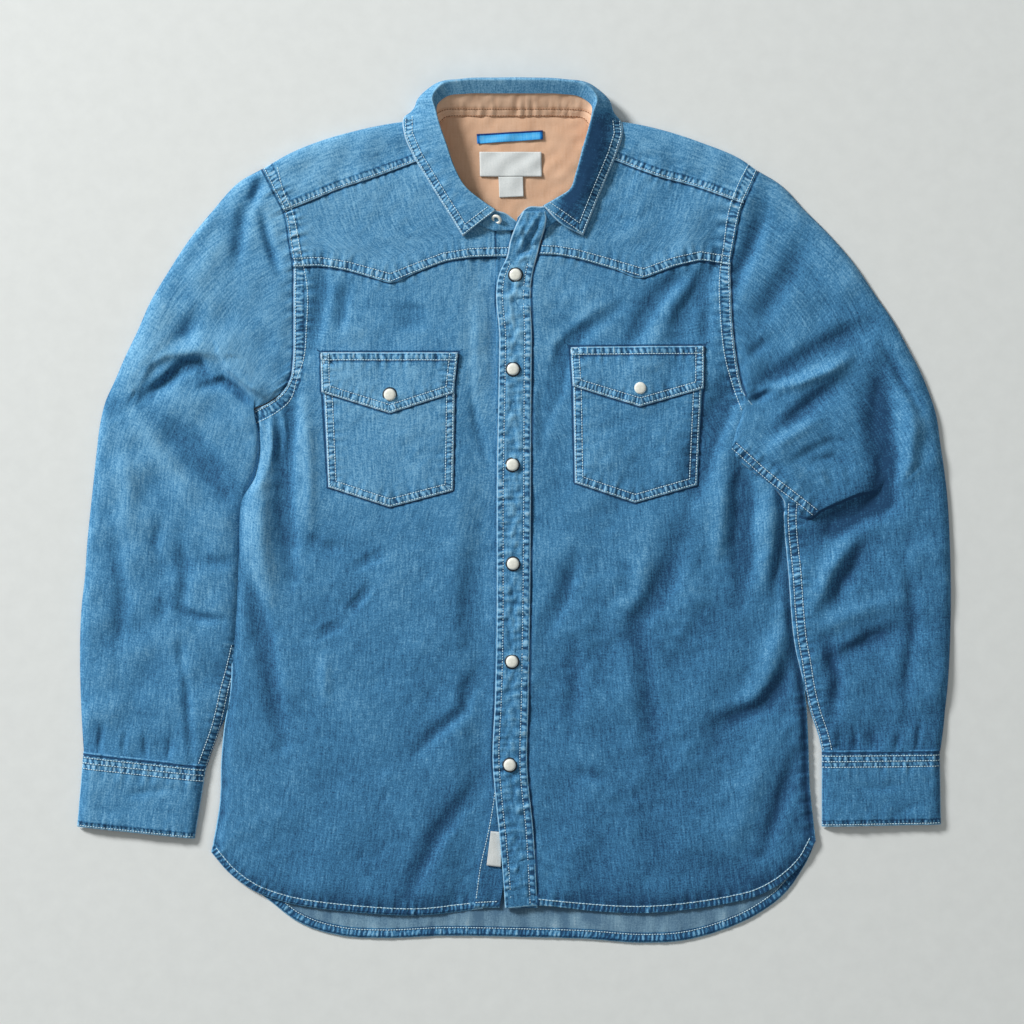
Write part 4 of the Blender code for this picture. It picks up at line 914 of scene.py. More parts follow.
def new_material(name):
    """A material, a function that adds a node to it, and its shader."""
    material = bpy.data.materials.new(name)
    material.use_nodes = True

    def add(kind, settings=None, **sockets):
        node = material.node_tree.nodes.new(kind)
        for setting, value in (settings or {}).items():
            setattr(node, setting, value)
        connect(node, **sockets)
        return node

    return material, add, material.node_tree.nodes["Principled BSDF"]


def attribute(add, name, output="Vector"):
    """What smooth_mesh has written on the points under this name."""
    return add("ShaderNodeAttribute", {"attribute_name": name}).outputs[output]


def mixed(add, factor, first, second):
    """A colour from the first to the second."""
    return add("ShaderNodeMix", {"data_type": "RGBA"}, _0=factor, _6=first, _7=second).outputs[2]


def noise(add, vector, scale, detail=2.0, roughness=0.55, stretch=(1, 1, 1)):
    place = add("ShaderNodeMapping", _0=vector, Scale=stretch).outputs[0]
    node = add("ShaderNodeTexNoise", Vector=place, Scale=scale, Detail=detail, Roughness=roughness)
    return node.outputs[0]


def ranged(add, value, low, high, to_low=0.0, to_high=1.0):
    """The value's place from low to high, held to that range, as one from to_low to to_high."""
    node = add("ShaderNodeMapRange", _0=value, _1=low, _2=high, _3=to_low, _4=to_high)
    return node.outputs[0]


def maths(add, kind, first, second=0.0, third=0.0):
    """The result of one of Blender's maths nodes."""
    return add("ShaderNodeMath", {"operation": kind}, _0=first, _1=second, _2=third).outputs[0]


def times(add, first, second):
    return maths(add, "MULTIPLY", first, second)


def added(add, level, *parts):
    """The level with each value added to it, by its amount."""
    for value, amount in parts:
        level = maths(add, "MULTIPLY_ADD", value, amount, level)
    return level


def yarn_level(add, fade, strengths):
    """How pale the cloth is by its wear, its painted light and shade, and its yarns, and the noises of its
    two main yarns.
    """
    place = attribute(add, "cloth")
    worn_and_shaded = attribute(add, "wear", "Fac")
    noises = [noise(add, place, *look) for _, _, *look in YARNS]
    level = maths(add, "MULTIPLY_ADD", worn_and_shaded, 0.55 * fade, 0.55)
    for (kind, amount, *_), value in zip(YARNS, noises):
        level = added(add, level, (maths(add, "SUBTRACT", value, 0.5), amount * strengths[kind]))
    return level, noises[:2]


def seam_band(add):
    """A seam's band: its pale and dark crests, its inside, and the grooves of its two rows."""
    run, into, width = add("ShaderNodeSeparateXYZ", Vector=attribute(add, "seam")).outputs
    left_over = maths(add, "SUBTRACT", width, into)
    wide = maths(add, "GREATER_THAN", width, 1.5)
    inside = times(add, ranged(add, into, -0.7, 0.5), ranged(add, left_over, -0.7, 0.5))
    inside = times(add, inside, wide)
    flat = add("ShaderNodeCombineXYZ", X=run, Y=into).outputs[0]
    wobble = noise(add, flat, 1, 1, 0.5, (0.09, 0.06, 1))
    jitter = noise(add, flat, 1, 2, 0.6, (0.42, 0.10, 1))
    phase = maths(add, "MULTIPLY_ADD", run, QUARTER_TURN, times(add, wobble, 12.0))
    bars = maths(add, "SINE", maths(add, "MULTIPLY_ADD", into, 0.22, phase))
    ticks = maths(add, "SUBTRACT", jitter, 0.5)
    ticks = maths(add, "MULTIPLY_ADD", ticks, 4.0, times(add, bars, 0.6))
    ticks = times(add, ranged(add, ticks, -1.0, 1.0, -1.0, 1.0), inside)
    rows = [ranged(add, maths(add, "ABSOLUTE", side), 0.5, 1.4, 1.0, 0.0) for side in (into, left_over)]
    return ticks, inside, times(add, maths(add, "MAXIMUM", *rows), wide)


def cloth_edges(add):
    """The worn rims of pieces, and the lines of painted shadow where one piece meets another."""
    rim, line, shadow_line = add("ShaderNodeSeparateXYZ", Vector=attribute(add, "edge")).outputs
    pale_rim = ranged(add, rim, 0.5, 1.5, 1.0, 0.0)
    near_line = ranged(add, maths(add, "ABSOLUTE", line), 0.3, 1.5, 1.0, 0.0)
    return pale_rim, times(add, near_line, shadow_line)


def cloth_material(name, dark, middle, light, grain=1.0, streak=1.0, fade=1.0):
    """Woven cloth that is paler where it is worn and where painted light falls, darker in painted shade,
    with crests across its seams' bands.
    """
    material, add, shader = new_material(name)
    level, (heather, slub) = yarn_level(add, fade, {"grain": grain, "streak": streak, "fade": fade})
    ticks, inside, groove = seam_band(add)
    pale_rim, line = cloth_edges(add)
    # painted shade: the rows' grooves and the lines where one piece meets another are drawn darker
    parts = ((ticks, TICK), (inside, 0.04), (groove, -0.45), (pale_rim, 1.05), (line, -1.0))
    level = added(add, level, *parts)
    pale = tuple(part * 0.6 + 0.3 for part in light)
    colour = mixed(add, ranged(add, level, 0.5, 1.1), (*middle, 1), (*light, 1))
    colour = mixed(add, ranged(add, level, 1.1, 1.9), colour, (*pale, 1))
    colour = mixed(add, ranged(add, level, -0.15, 0.5), (*dark, 1), colour)
    connect(shader, Base_Color=colour, Roughness=0.88, Specular_IOR_Level=0.25)
    connect(shader, Sheen_Weight=0.03, Sheen_Roughness=0.5)
    relief = ((slub, 0.10), (ticks, 0.26), (groove, -0.15), (pale_rim, -0.25))
    weave = added(add, times(add, heather, 0.13), *relief)
    bumped = add("ShaderNodeBump", Strength=0.8, Distance=0.001, Height=weave)
    connect(shader, Normal=bumped.outputs[0])
    return material


def plain_material(name, colour, roughness, spread, scale, specular=0.4, coat=0.0):
    """A material with a fine grain, this much darker and paler than its colour."""
    material, add, shader = new_material(name)
    place = add("ShaderNodeTexCoord").outputs["Object"]
    grain = noise(add, place, scale, 3, 0.6)
    dark = tuple(part * (1 - spread) for part in colour)
    light = tuple(min(part * (1 + spread), 1) for part in colour)
    mix = mixed(add, ranged(add, grain, 0.3, 0.7), (*dark, 1), (*light, 1))
    connect(shader, Base_Color=mix, Roughness=roughness, Specular_IOR_Level=specular)
    connect(shader, Coat_Weight=coat, Coat_Roughness=0.15)
    return material


# Cloth: its dark, middle and light colour, and its grain, streaks and fading beside denim's
DENIM = cloth_material("denim", (0.014, 0.066, 0.160), (0.058, 0.236, 0.450), (0.235, 0.51, 0.74))
REVERSE = cloth_material(
    "denim_reverse", (0.09, 0.19, 0.30), (0.21, 0.37, 0.50), (0.42, 0.58, 0.68), grain=0.8, streak=0.8
)
TAN = cloth_material(
    "tan_twill", (0.36, 0.17, 0.085), (0.71, 0.43, 0.275), (0.88, 0.60, 0.42), 0.22, 0.4, 0.5
)
LABEL = cloth_material(
    "woven_label", (0.48, 0.52, 0.52), (0.70, 0.735, 0.73), (0.86, 0.88, 0.87), 0.5, 0.5, 0.3
)
TAPE = cloth_material(
    "blue_tape", (0.005, 0.035, 0.16), (0.01, 0.25, 0.74), (0.10, 0.52, 0.95), 0.3, 0.8, 1.6
)
THREAD_CLOTH = plain_material("thread", (0.60, 0.83, 1.0), 0.7, 0.16, 900)
STAND_THREAD = plain_material("tan_thread", (0.30, 0.13, 0.06), 0.7, 0.3, 900)
PEARL = plain_material("pearl", (0.90, 0.91, 0.82), 0.2, 0.1, 420, 0.5, 0.4)
# near-black: a ring of painted shadow round each snap cap
SNAP_SHADOW = plain_material("snap_rim", (0.02, 0.03, 0.045), 0.5, 0.2, 200, 0.3)


# The body


def body_height(x, y, uneven=1.0):
    """Top of the fronts, without seams; uneven is the share of the small unevenness that it has."""
    x = np.asarray(x, float)
    y = np.asarray(y, float)
    centre = smooth((60 - np.abs(x)) / 34)
    folds = BODY_FOLDS * fold_height(x, y, FINE_FOLDS)
    folds *= smooth((np.abs(x - 1) - 15) / 12)
    # the left front is a little more crumpled than the right one
    strength = uneven * (0.7 + 0.5 * smooth((x + 60) / 160))
    folds += strength * 0.85 * rough(x, y, 95, 3)
    folds += strength * 0.65 * rough(x, y, 42, 4)
    folds += strength * 0.28 * rough(x, y, 17, 5) * smooth(0.6 + 0.6 * rough(x, y, 90, 8))
    folds += uneven * 0.07 * rough(x, y, 6.5, 6)
    height = BODY_HEIGHT + 0.4 * centre + folds
    # pressed low at the sides under the armholes, and at the hem
    edge = np.minimum(x - side_at(RIGHT_SIDE, y), side_at(LEFT_SIDE, y) - x)
    low = smooth((104 - y) / 16)
    height = height - (height - LOWEST_FRONT) * low * bell(np.maximum(edge, 0), 6)
    hem = np.where(x < -8, cubic(*np.array(RIGHT_HEM).T, x), cubic(*np.array(LEFT_HEM).T, x))
    rise = np.maximum(y - hem, 0)
    wave = 0.5 * rough(x, y * 0.3, 26, 9)
    height = height - (height - LOWEST_FRONT - 0.8 - wave) * (1 - centre) * bell(rise, 12)
    least = LOWEST_FRONT + (BODY_HEIGHT - LOWEST_FRONT) * centre * 0.8
    return least + np.log1p(np.exp((height - least) * 2)) / 2


def shade_and_wear(height):
    """How much paler or darker cloth this far over the mean height is painted: crests paler, as wear and
    painted highlight, and troughs darker, as painted shade.
    """
    return 0.26 * np.where(height > 0, 0.9 * np.tanh(height / 0.9), 4.2 * np.tanh(height / 4.2))


def seamed(layer, seams=None, dip=0, pale=0):
    """A height function: the fronts' height, this many layers up, with the body's seams."""

    def height(x, y):
        z = body_height(x, y)
        if dip:
            under = smooth((x - side_at(UNDERLAP_LEFT, y) + 38) / 28)
            z = np.maximum(z - dip * under, np.minimum(z, 2.5))
        z, wear, marks = add_seams(x, y, z, BODY_SEAMS if seams is None else seams)
        # painted shade and highlight from the folds' heights, moved to the side away from the key light
        shaded = body_height(x + PAINTED_SHADE_SHIFT, y - PAINTED_SHADE_SHIFT, 0.5) - BODY_HEIGHT - 0.4
        return z + layer * LAYER, wear + pale + shade_and_wear(shaded), marks

    return height


def layer_at(x, y):
    """How many layers lie on the fronts here: the yokes, and the shoulders' strips over them."""
    yoke_y, strip_y = (
        np.interp(x, *np.array((*right, *left[::-1]), float).T)
        for right, left in ((RIGHT_YOKE, LEFT_YOKE), (RIGHT_FORWARD, LEFT_FORWARD))
    )
    return np.where(y > strip_y, 2, np.where(y > yoke_y, 1, 0))


def fine_filled(bottom, top, left, right, rows):
    """A fine plan of a front or of its yoke inside four smooth edges."""
    u = evenly(FRONT_COLUMNS)
    v = evenly(rows)
    return filled(along(bottom, u), along(top, u), along(left, v), along(right, v))


def body_line(side):
    """The body's edge from the hem to the shoulder, as a smooth line."""
    table, armhole = (RIGHT_SIDE, RIGHT_ARMHOLE) if side == "right" else (LEFT_SIDE, LEFT_ARMHOLE)
    ys = np.linspace(table[0][0], table[-1][0], 60)
    return np.vstack([side_points(table, ys), along(armhole[::-1], evenly(60))])


def front_piece(side):
    """A front, from its hem up to a little under its yoke."""
    right = side == "right"
    top = np.array(RIGHT_YOKE if right else LEFT_YOKE) + [0, UNDER_YOKE]
    hem = np.array(RIGHT_HEM if right else LEFT_HEM[::-1], float)
    outer = clipped(body_line(side), hem[0, 1], top[0, 1])
    table, hold = (UNDERLAP_LEFT, UNDERLAP_HOLD) if right else (PLACKET_LEFT, PLACKET_HOLD)
    ys = np.linspace(-358 if right else -357, top[-1, 1], 40)
    centre = side_points(table, ys) + [hold, 0]
    top[0], top[-1] = outer[-1], centre[-1]
    hem[0], hem[-1] = outer[0], centre[0]
    plan = fine_filled(hem, top, outer, centre, FRONT_ROWS)
    laid_piece(side + "_front", plan, seamed(0, dip=UNDERLAP_DROP if right else 0), "bl")


def front_yoke_piece(side):
    """A pointed front yoke, up to a little under the shoulder's strip."""
    right = side == "right"
    point = np.array(RIGHT_YOKE if right else LEFT_YOKE, float)
    forward = RIGHT_FORWARD if right else LEFT_FORWARD
    neck = np.array(RIGHT_NECK if right else LEFT_NECK, float)
    neck[2:] += UNDER_COLLAR if right else (-UNDER_COLLAR[0], UNDER_COLLAR[1])
    if right:
        neck[:3] = RIGHT_YOKE_END
        point[-1] = neck[0]
    seam = shifted_line(forward, UNDER_SHOULDER if right else -UNDER_SHOULDER)
    arm = clipped(body_line(side), point[0, 1], seam[0, 1])
    top = np.vstack([arm[-1], seam[1:], neck[-1]])
    plan = fine_filled(point, top, arm, neck, YOKE_ROWS)
    laid_piece(side + "_front_yoke", plan, seamed(1, dip=1.4 if right else 0), "bl", 1.5, "b")


def shoulder_strip(outline, forward):
    """The back yoke's strip over a shoulder: rows from its fold to its forward seam."""
    shares = evenly(SHOULDER_COLUMNS)
    edge, seam = along(outline, shares), along(forward, shares)
    run = seam - edge
    length = np.linalg.norm(run, axis=1)
    run /= length[:, None]
    last, last_height = FINE_SHOULDER[-1]
    rows = [raised(edge + run * distance, np.full(len(edge), height)) for distance, height in FINE_SHOULDER]
    for share in evenly(26)[1:]:
        place = edge + run * (last * (1 - share) + length * share)[:, None]
        z = seamed(2)(place[:, 0], place[:, 1])[0]
        blend = smooth(share * 2)
        rows.append(raised(place, last_height * (1 - blend) + z * blend))
    points = np.array(rows)
    ridge = 0.5 * rough(points[..., 0], points[..., 1], 30, 21)
    points[..., 2] += ridge * smooth((points[..., 2] - 3) / 5)
    _, worn_and_shaded, marks = seamed(2)(points[..., 0], points[..., 1])
    return padded_edge(dressed(points, worn_and_shaded, marks, "t", True), "t", 1.6)


def back_yoke_piece():
    """The back yoke: its floor, and the strips that turn over the shoulders."""
    right = shoulder_strip(RIGHT_SHOULDER, RIGHT_FORWARD)
    left = shoulder_strip(LEFT_SHOULDER, LEFT_FORWARD)
    top = np.vstack([right[0, :, :3], left[0, ::-1, :3]])
    start, end = np.array(YOKE_FLOOR_ENDS, float)
    bottom = start + (end - start) * evenly(len(top))[:, None]
    floor = between(bottom, top, evenly(12))
    floor[..., 2] = 0
    grids = [right, left, dressed(floor)]
    faces = [grid_faces(*grid.shape[:2]) for grid in grids]
    faces[1] = faces[1][:, ::-1]
    starts = np.cumsum([0] + [grid.shape[0] * grid.shape[1] for grid in grids[:2]])
    flat = np.vstack([grid.reshape(-1, grid.shape[-1]) for grid in grids])
    cloth_piece("back_yoke", flat, np.vstack([found + start for found, start in zip(faces, starts)]))


def strip_plan(left, right, ys):
    """A band's plan between two edges that are given by rows of y and x."""
    edges = [side_points(table, ys)[:, None] for table in (left, right)]
    across = evenly(30)[None, :, None]
    return edges[0] * (1 - across) + edges[1] * across


def under_placket_piece():
    """The right front's edge band, which lies under the placket and shows at the hem."""

    def height(x, y):
        z, wear, marks = add_seams(x, y, np.full(np.shape(x), 4.4), UNDERLAP_SEAMS)
        z = z + 0.25 * rough(x, y, 14, 31) - 0.6 * smooth((-330 - y) / 20)
        return z, wear - 0.3, marks

    plan = strip_plan(UNDERLAP_LEFT, UNDERLAP_RIGHT, np.linspace(-357, 252.5, 320))
    laid_piece("under_placket", plan, height, drop=1.3, rim="b")


def front_placket_piece():
    """The placket: crumpled along its middle but at the snaps, and twisted at its top."""

    def height(x, y):
        centre = (side_at(LONG_LEFT, y) + side_at(LONG_RIGHT, y)) / 2
        z = np.full(np.shape(x), BODY_HEIGHT + 0.6 + LAYER)
        z, wear, marks = add_seams(x, y, z, PLACKET_SEAMS)
        inner = bell(x - centre, 8.5)
        crumple = 0.75 * rough(x, y, 13, 32) + 0.45 * rough(x, y, 6, 33)
        for snap_x, snap_y in PLACKET_SNAPS:
            crumple = crumple * (1 - 0.8 * np.exp(-((x - snap_x) ** 2 + (y - snap_y) ** 2) / 60))
        top = smooth((y - 224) / 10)
        twist = PLACKET_TWIST * fold_height(x, y, PLACKET_FOLDS) + 0.6 * top * rough(x, y, 9, 34)
        z = z + inner * crumple + twist
        z = z + 6.6 * smooth((y - 234) / 26) - 2.2 * smooth((-335 - y) / 20)
        # painted light and shade: the crumples and the twist are paler where high and darker where low, and
        # the top is painted darker as shade
        return z, wear + 0.15 + inner * crumple * 0.5 + 0.16 * twist - 0.3 * top, marks

    plan = strip_plan(LONG_LEFT, LONG_RIGHT, np.linspace(-357, 269, 420))
    laid_piece("front_placket", plan, height, drop=1.7, rim="lr")


def pocket_piece(side, flap):
    """A pocket, or with flap the flap over it; its foot comes to a point."""
    pocket = POCKETS[side]
    low, high = ("flap_bottom", "flap_top") if flap else ("bottom", "top")
    bottom = np.array(pocket[low], float)
    half = evenly(POCKET_COLUMNS // 2)
    bottom = np.vstack([along(bottom[:2], half), along(bottom[1:], half)[1:]])
    top = along(pocket[high], shares_of(bottom))
    up = evenly(44 if flap else 90)[:, None]
    left, right = (bottom[end] + (top[end] - bottom[end]) * up for end in (0, -1))
    seams = (FLAP_SEAMS if flap else POCKET_SEAMS)[side]
    height = seamed(2 if flap else 1, seams, pale=0.25 if side == "right" else 0.05)
    node = f"{side}_pocket_flap" if flap else f"{side}_pocket"
    laid_piece(node, filled(bottom, top, left, right), height, "btlr" if flap else "blr", 1.5)


# Sleeves and cuffs


def sleeve_rings(side):
    """Rings at even steps along a sleeve: outer, inner and bow."""
    right = side == "right"
    table = np.array(RIGHT_SLEEVE if right else LEFT_SLEEVE, float)
    middle = (table[:, :2] + table[:, 2:4]) / 2
    place = shares_of(table[:, :2]) * 0.6 + shares_of(middle) * 0.4
    rings = cubic(place, table, evenly(250 if right else 380))
    # the inner edges tuck against the body
    share = smooth((rings[:, 3] + 165) / 40) * smooth((84 - rings[:, 3]) / 16)
    rings[:, 2] += (3.4 if right else -2.6) * share
    return rings


def ring_plan(ring, start, shares):
    """Places across a sleeve at its ring, bowed by a share of the armhole's own bow."""
    outer, inner, bow = ring[:2], ring[2:4], ring[4]
    first = points_at(start, shares_of(start), shares)
    chord = start[-1] - start[0]
    rest = first - (start[0] + chord * shares[:, None])
    ahead = chord / np.linalg.norm(chord)
    across = np.array([-ahead[1], ahead[0]])
    run = inner - outer
    here = run / np.linalg.norm(run)
    turn = np.array([-here[1], here[0]])
    bent = (rest @ ahead)[:, None] * here + (rest @ across)[:, None] * turn
    return outer + run * shares[:, None] + bent * bow


def flap_rest(x, y):
    """Height of the body under the left sleeve's fold."""
    line = np.interp(y, *np.array(FLAP_REST, float).T)
    near = smooth(y / 8) * smooth((118 - y) / 8)
    low = smooth((165 + y) / 20) * smooth((4 - y) / 8)
    line = np.where(y < FLAP_REST[0][0], side_at(LEFT_SIDE, y), line)
    return 3.2 * smooth((line + 9 - x) / 9) * near + 1.8 * smooth((line + 5 - x) / 5) * low


def edge_shares(count):
    """Shares across a tube, closer to each other near its edges."""
    even = evenly(count)
    return 0.5 * even + 0.5 * (0.5 - 0.5 * np.cos(np.pi * even))


def edge_distance(plan, shares):
    """How far each place of a tube's plan is from the tube's nearer edge."""
    width = np.linalg.norm(plan[:, -1] - plan[:, 0], axis=1)[:, None]
    return np.minimum(shares[None], 1 - shares[None]) * width


def sleeve_height(side, plan, shares, rings):
    """A sleeve's top with its folds, and its wear and painted shade, from its armhole to its cuff."""
    right = side == "right"
    x, y = plan[..., 0], plan[..., 1]
    folds = FINE_RIGHT_SLEEVE if right else FINE_LEFT_SLEEVE
    edge = edge_distance(plan, shares)
    rest = np.zeros(x.shape) if right else flap_rest(x, y)
    uneven = 1.0 * rough(x, y, 70, 51 + right) + 0.6 * rough(x, y, 28, 53) + 0.08 * rough(x, y, 6.5, 54)
    full = SLEEVE_HEIGHT + uneven + SLEEVE_FOLDS * fold_height(x, y, folds)
    # painted shade and highlight from the folds' heights, moved to the side away from the key light
    worn_and_shaded = shade_and_wear(0.5 * uneven + SLEEVE_FOLDS * fold_height(x + PAINTED_SHADE_SHIFT, y - PAINTED_SHADE_SHIFT, folds)) - 0.1
    if not right:
        full = full + SLEEVE_FOLDS * fold_height(x, y, FLAP_FOLDS)
    full = np.maximum(full, rest + 2.6)
    base = rest + EDGE_HEIGHT
    if right:
        # its closed edge follows the body's seam at the armhole's end
        seam_end = seamed(0)(rings[:, 2] + 3, rings[:, 3])[0][:, None]
        held = smooth((rings[:, 3:4] - 84) / 8) * smooth(2 * shares[None] - 1)
        base = base + (seam_end + 0.5 - EDGE_HEIGHT) * held
    z = base + (full - base) * (1 - np.exp(-edge / EDGE_REACH))
    # the first ring lies on the body
    body = seamed(0)(x[0], y[0])[0]
    body = body + (layer_at(x[0], y[0]) - 0.35) * LAYER
    meet = bell(np.linalg.norm(plan - plan[:1], axis=2), 11) * (1 - np.exp(-edge / 1.6))
    return z + (body - z[0]) * meet, worn_and_shaded


def sleeve_piece(side):
    """A sleeve: a flat tube whose underside lies on the floor or on the body."""
    right = side == "right"
    armhole = (RIGHT_ARMHOLE if right else LEFT_ARMHOLE)[:-2]
    start = shifted_line(along(armhole, evenly(80)), 0.8 if right else -0.8)
    rings = sleeve_rings(side)
    shares = edge_shares(100)
    low_shares = np.linspace(1, 0, 14)[1:-1]
    plan, low = (np.array([ring_plan(ring, start, ways) for ring in rings]) for ways in (shares, low_shares))
    z, fold_shade_and_wear = sleeve_height(side, plan, shares, rings)
    seams = RIGHT_SLEEVE_SEAMS if right else LEFT_SLEEVE_SEAMS
    z, worn_and_shaded, marks = add_seams(plan[..., 0], plan[..., 1], z, seams)
    top = dressed(raised(plan, z), worn_and_shaded + fold_shade_and_wear, marks, "" if right else "r")
    low_rest = np.zeros(low.shape[:2]) if right else flap_rest(low[..., 0], low[..., 1])
    tube = np.concatenate([top, dressed(raised(low, low_rest))], axis=1)
    cloth_piece(side + "_sleeve", tube, grid_faces(*tube.shape[:2], loop=True))


def cuff_piece(side):
    """A cuff: a flat tube with its ends turned in."""
    right = side == "right"
    corners = RIGHT_CUFF if right else LEFT_CUFF
    shares = edge_shares(80)
    top, bottom = (
        first + (last - first) * shares[:, None]
        for first, last in (np.array(corners[end], float) for end in ("top", "bottom"))
    )
    down = np.linspace(-0.03, 1, 50)
    plan = between(top, bottom, down)
    x, y = plan[..., 0], plan[..., 1]
    full = CUFF_HEIGHT + 1.2 + 0.4 * rough(x, y, 40, 61) + 0.2 * rough(x, y, 12, 62)
    full = full + fold_height(x, y, CUFF_FOLDS) - 1.6 * smooth((down[:, None] - 0.9) / 0.1)
    z = 2.4 + (full - 2.4) * (1 - np.exp(-edge_distance(plan, shares) / 3.5))
    z, worn_and_shaded, marks = add_seams(x, y, z, RIGHT_CUFF_SEAMS if right else LEFT_CUFF_SEAMS)
    # higher cloth is painted paler and lower cloth darker, as light and shade
    worn_and_shaded = worn_and_shaded + (0.1 if right else 0.15) + 0.13 * (z - CUFF_HEIGHT)
    upper = padded_edge(dressed(raised(plan, z), worn_and_shaded, marks, "tlr"), "bt", 1.6)
    low = upper[:, ::-1][:, 4:-4:6].copy()
    low[..., 2] = 0
    tube = np.concatenate([upper, low], axis=1)
    cloth_piece(side + "_cuff", tube, grid_faces(*tube.shape[:2], loop=True))


# The neck, the back and the small pieces


def collar_sections():
    """The collar's rings as crest, bulge, edge and seam, and how open the fall is at each."""
    table = np.array(COLLAR, float).reshape(-1, 4, 3)
    station = np.arange(len(table))
    open_share = smooth(0.1 + np.minimum(station, station[::-1]) / 3)[:, None]
    return table.transpose(1, 0, 2), open_share


def collar_piece():
    """The fall: from a lip inside, over the crest and down to its edge."""
    (crest, bulge, edge, seam), open_share = collar_sections()
    lift = (1 - open_share) * [0, 0, 3.2]
    crest = crest + lift
    bulge = bulge + lift * 0.6
    lip = crest + (seam - crest) * np.maximum(LIP_SHARE * open_share, 0.08)
    place = shares_of(crest)
    ways = evenly(230)
    sections = []
    for section in zip(*(cubic(place, line, ways) for line in (lip, crest, bulge, edge))):
        inside = along(section[:2], evenly(8))[:-1]
        sections.append(np.vstack([inside, along(section[1:], evenly(26))]))
    points = np.array(sections)
    x, y = points[..., 0], points[..., 1]
    column = np.arange(points.shape[1])[None]
    out = smooth((column - 9) / 10)
    points[..., 2] += out * (0.35 * rough(x, y, 22, 71) + 0.15 * rough(x, y, 8, 72))
    z, worn_and_shaded, marks = add_seams(x, y, points[..., 2], COLLAR_SEAMS)
    # only the flat front of the fall shows its seams
    flat_part = (y < 352) & (column > 14)
    points[..., 2] = np.where(flat_part, z, points[..., 2])
    worn_and_shaded = np.where(flat_part, worn_and_shaded, 0)
    # the crest is paler, as wear and as painted highlight
    crest_wear_and_highlight = 0.8 * bell(column - CREST_COLUMN, 1.5)
    worn_and_shaded = worn_and_shaded + crest_wear_and_highlight * (0.6 + 0.4 * rough(x, y, 9, 73))
    # painted shade on the fall of the collar's left leaf, which slopes away from the key light
    shade = smooth((x - 34) / 14) * smooth((column - CREST_COLUMN) / 3)
    shade = shade * smooth((366 - y) / 20)
    worn_and_shaded = worn_and_shaded - 0.15 - 1.7 * shade * smooth((34 - column) / 20)
    grid = dressed(points, worn_and_shaded, marks * flat_part[..., None], "rbt", True)
    cloth_piece("collar", padded_edge(grid, "btr", 1.5))


def stand_piece():
    """The collar's stand: tan inside the neck, denim at its front ends."""
    (crest, _, _, seam), open_share = collar_sections()
    stand_top = crest + (seam - crest) * (0.2 * open_share + 0.02) - [0, 0, 1.3]
    ends = np.array((STAND_RIGHT_END, STAND_LEFT_END), float).reshape(2, 2, 2, 3)
    upper = np.vstack([ends[0, :, 0], stand_top, ends[1, :, 0]])
    lower = np.vstack([ends[0, :, 1], seam, ends[1, :, 1]])
    place = shares_of(lower)
    ways = evenly(240)
    points = between(cubic(place, lower, ways), cubic(place, upper, ways), evenly(16))
    x, y = points[..., 0], points[..., 1]
    front = y < STAND_FRONT
    inside = y > STAND_BACK
    points[..., 2] += np.where(front, 1.7, 0)
    points[..., 2] += 0.25 * rough(x, y, 11, 75)
    z, worn_and_shaded, marks = add_seams(x, y, points[..., 2], STAND_SEAMS)
    creases = np.minimum(rough(x, y * 0.25, 9, 76), 0) * inside
    points[..., 2] = z + 0.5 * creases
    # painted shade in the inner creases and on the stand's left front end
    worn_and_shaded = worn_and_shaded + 1.1 * creases - 0.5 * front * (x > 0) + 0.95 * inside
    grid = padded_edge(dressed(points, worn_and_shaded, marks, "tl"), "btlr", 1.5)
    faces = grid_faces(*grid.shape[:2])
    made = cloth_piece("collar_stand", grid, faces, [TAN, DENIM])
    denim = grid.reshape(-1, grid.shape[-1])[faces[:, 0], 1] < STAND_FRONT
    made.data.polygons.foreach_set("material_index", denim.astype(np.int32))


def back_panel_piece():
    """The back, a flat bag: its inside shows between the fronts and the back's hem."""
    left = clipped(body_line("right"), RIGHT_HEM[0][1], YOKE_SEAM)
    right = clipped(body_line("left"), LEFT_HEM[-1][1], YOKE_SEAM)
    u = evenly(170)
    top = left[-1] + (right[-1] - left[-1]) * u[:, None]
    # rows lie closer near the hem
    rows = np.concatenate([np.linspace(0, 0.16, 46), np.linspace(0.16, 1, 40)[1:]])
    plan = filled(along(BACK_HEM, u), top, along(left, rows), along(right, rows))
    x, y = plan[..., 0], plan[..., 1]
    z = 1.35 + 0.25 * rough(x, y, 40, 81) * smooth((-330 - y) / 30)
    z, worn_and_shaded, marks = add_seams(x, y, z, BACK_SEAMS)
    front_hem = np.interp(x, *np.array((*RIGHT_HEM, *LEFT_HEM), float).T)
    # painted shadow that the front hem casts on the back, fading below the hem
    worn_and_shaded = worn_and_shaded + 0.5 * rough(x, y * 0.3, 14, 82) - 1.1 * np.exp(-np.maximum(front_hem - y, 0) / 5)
    upper = dressed(raised(plan, z), worn_and_shaded, marks, "b")
    lower = upper[:, ::-1].copy()
    lower[..., 2] = 0
    tube = np.concatenate([upper, lower], axis=1)
    ends = end_faces(*tube.shape[:2])
    faces = np.vstack([grid_faces(*tube.shape[:2], loop=True), ends])
    # the underside and the hem's band have the cloth's right side
    below = np.tile(np.arange(2 * len(u)) >= len(u), len(rows) - 1)
    band = plan[:-1, :, 1] - plan[:1, :, 1] < 7.0
    below = below | np.concatenate([band, band], axis=1).ravel()
    below = np.concatenate([below, np.ones(len(ends), bool)])
    made = cloth_piece("back_panel", tube, faces, [REVERSE, DENIM])
    made.data.polygons.foreach_set("material_index", below.astype(np.int32))


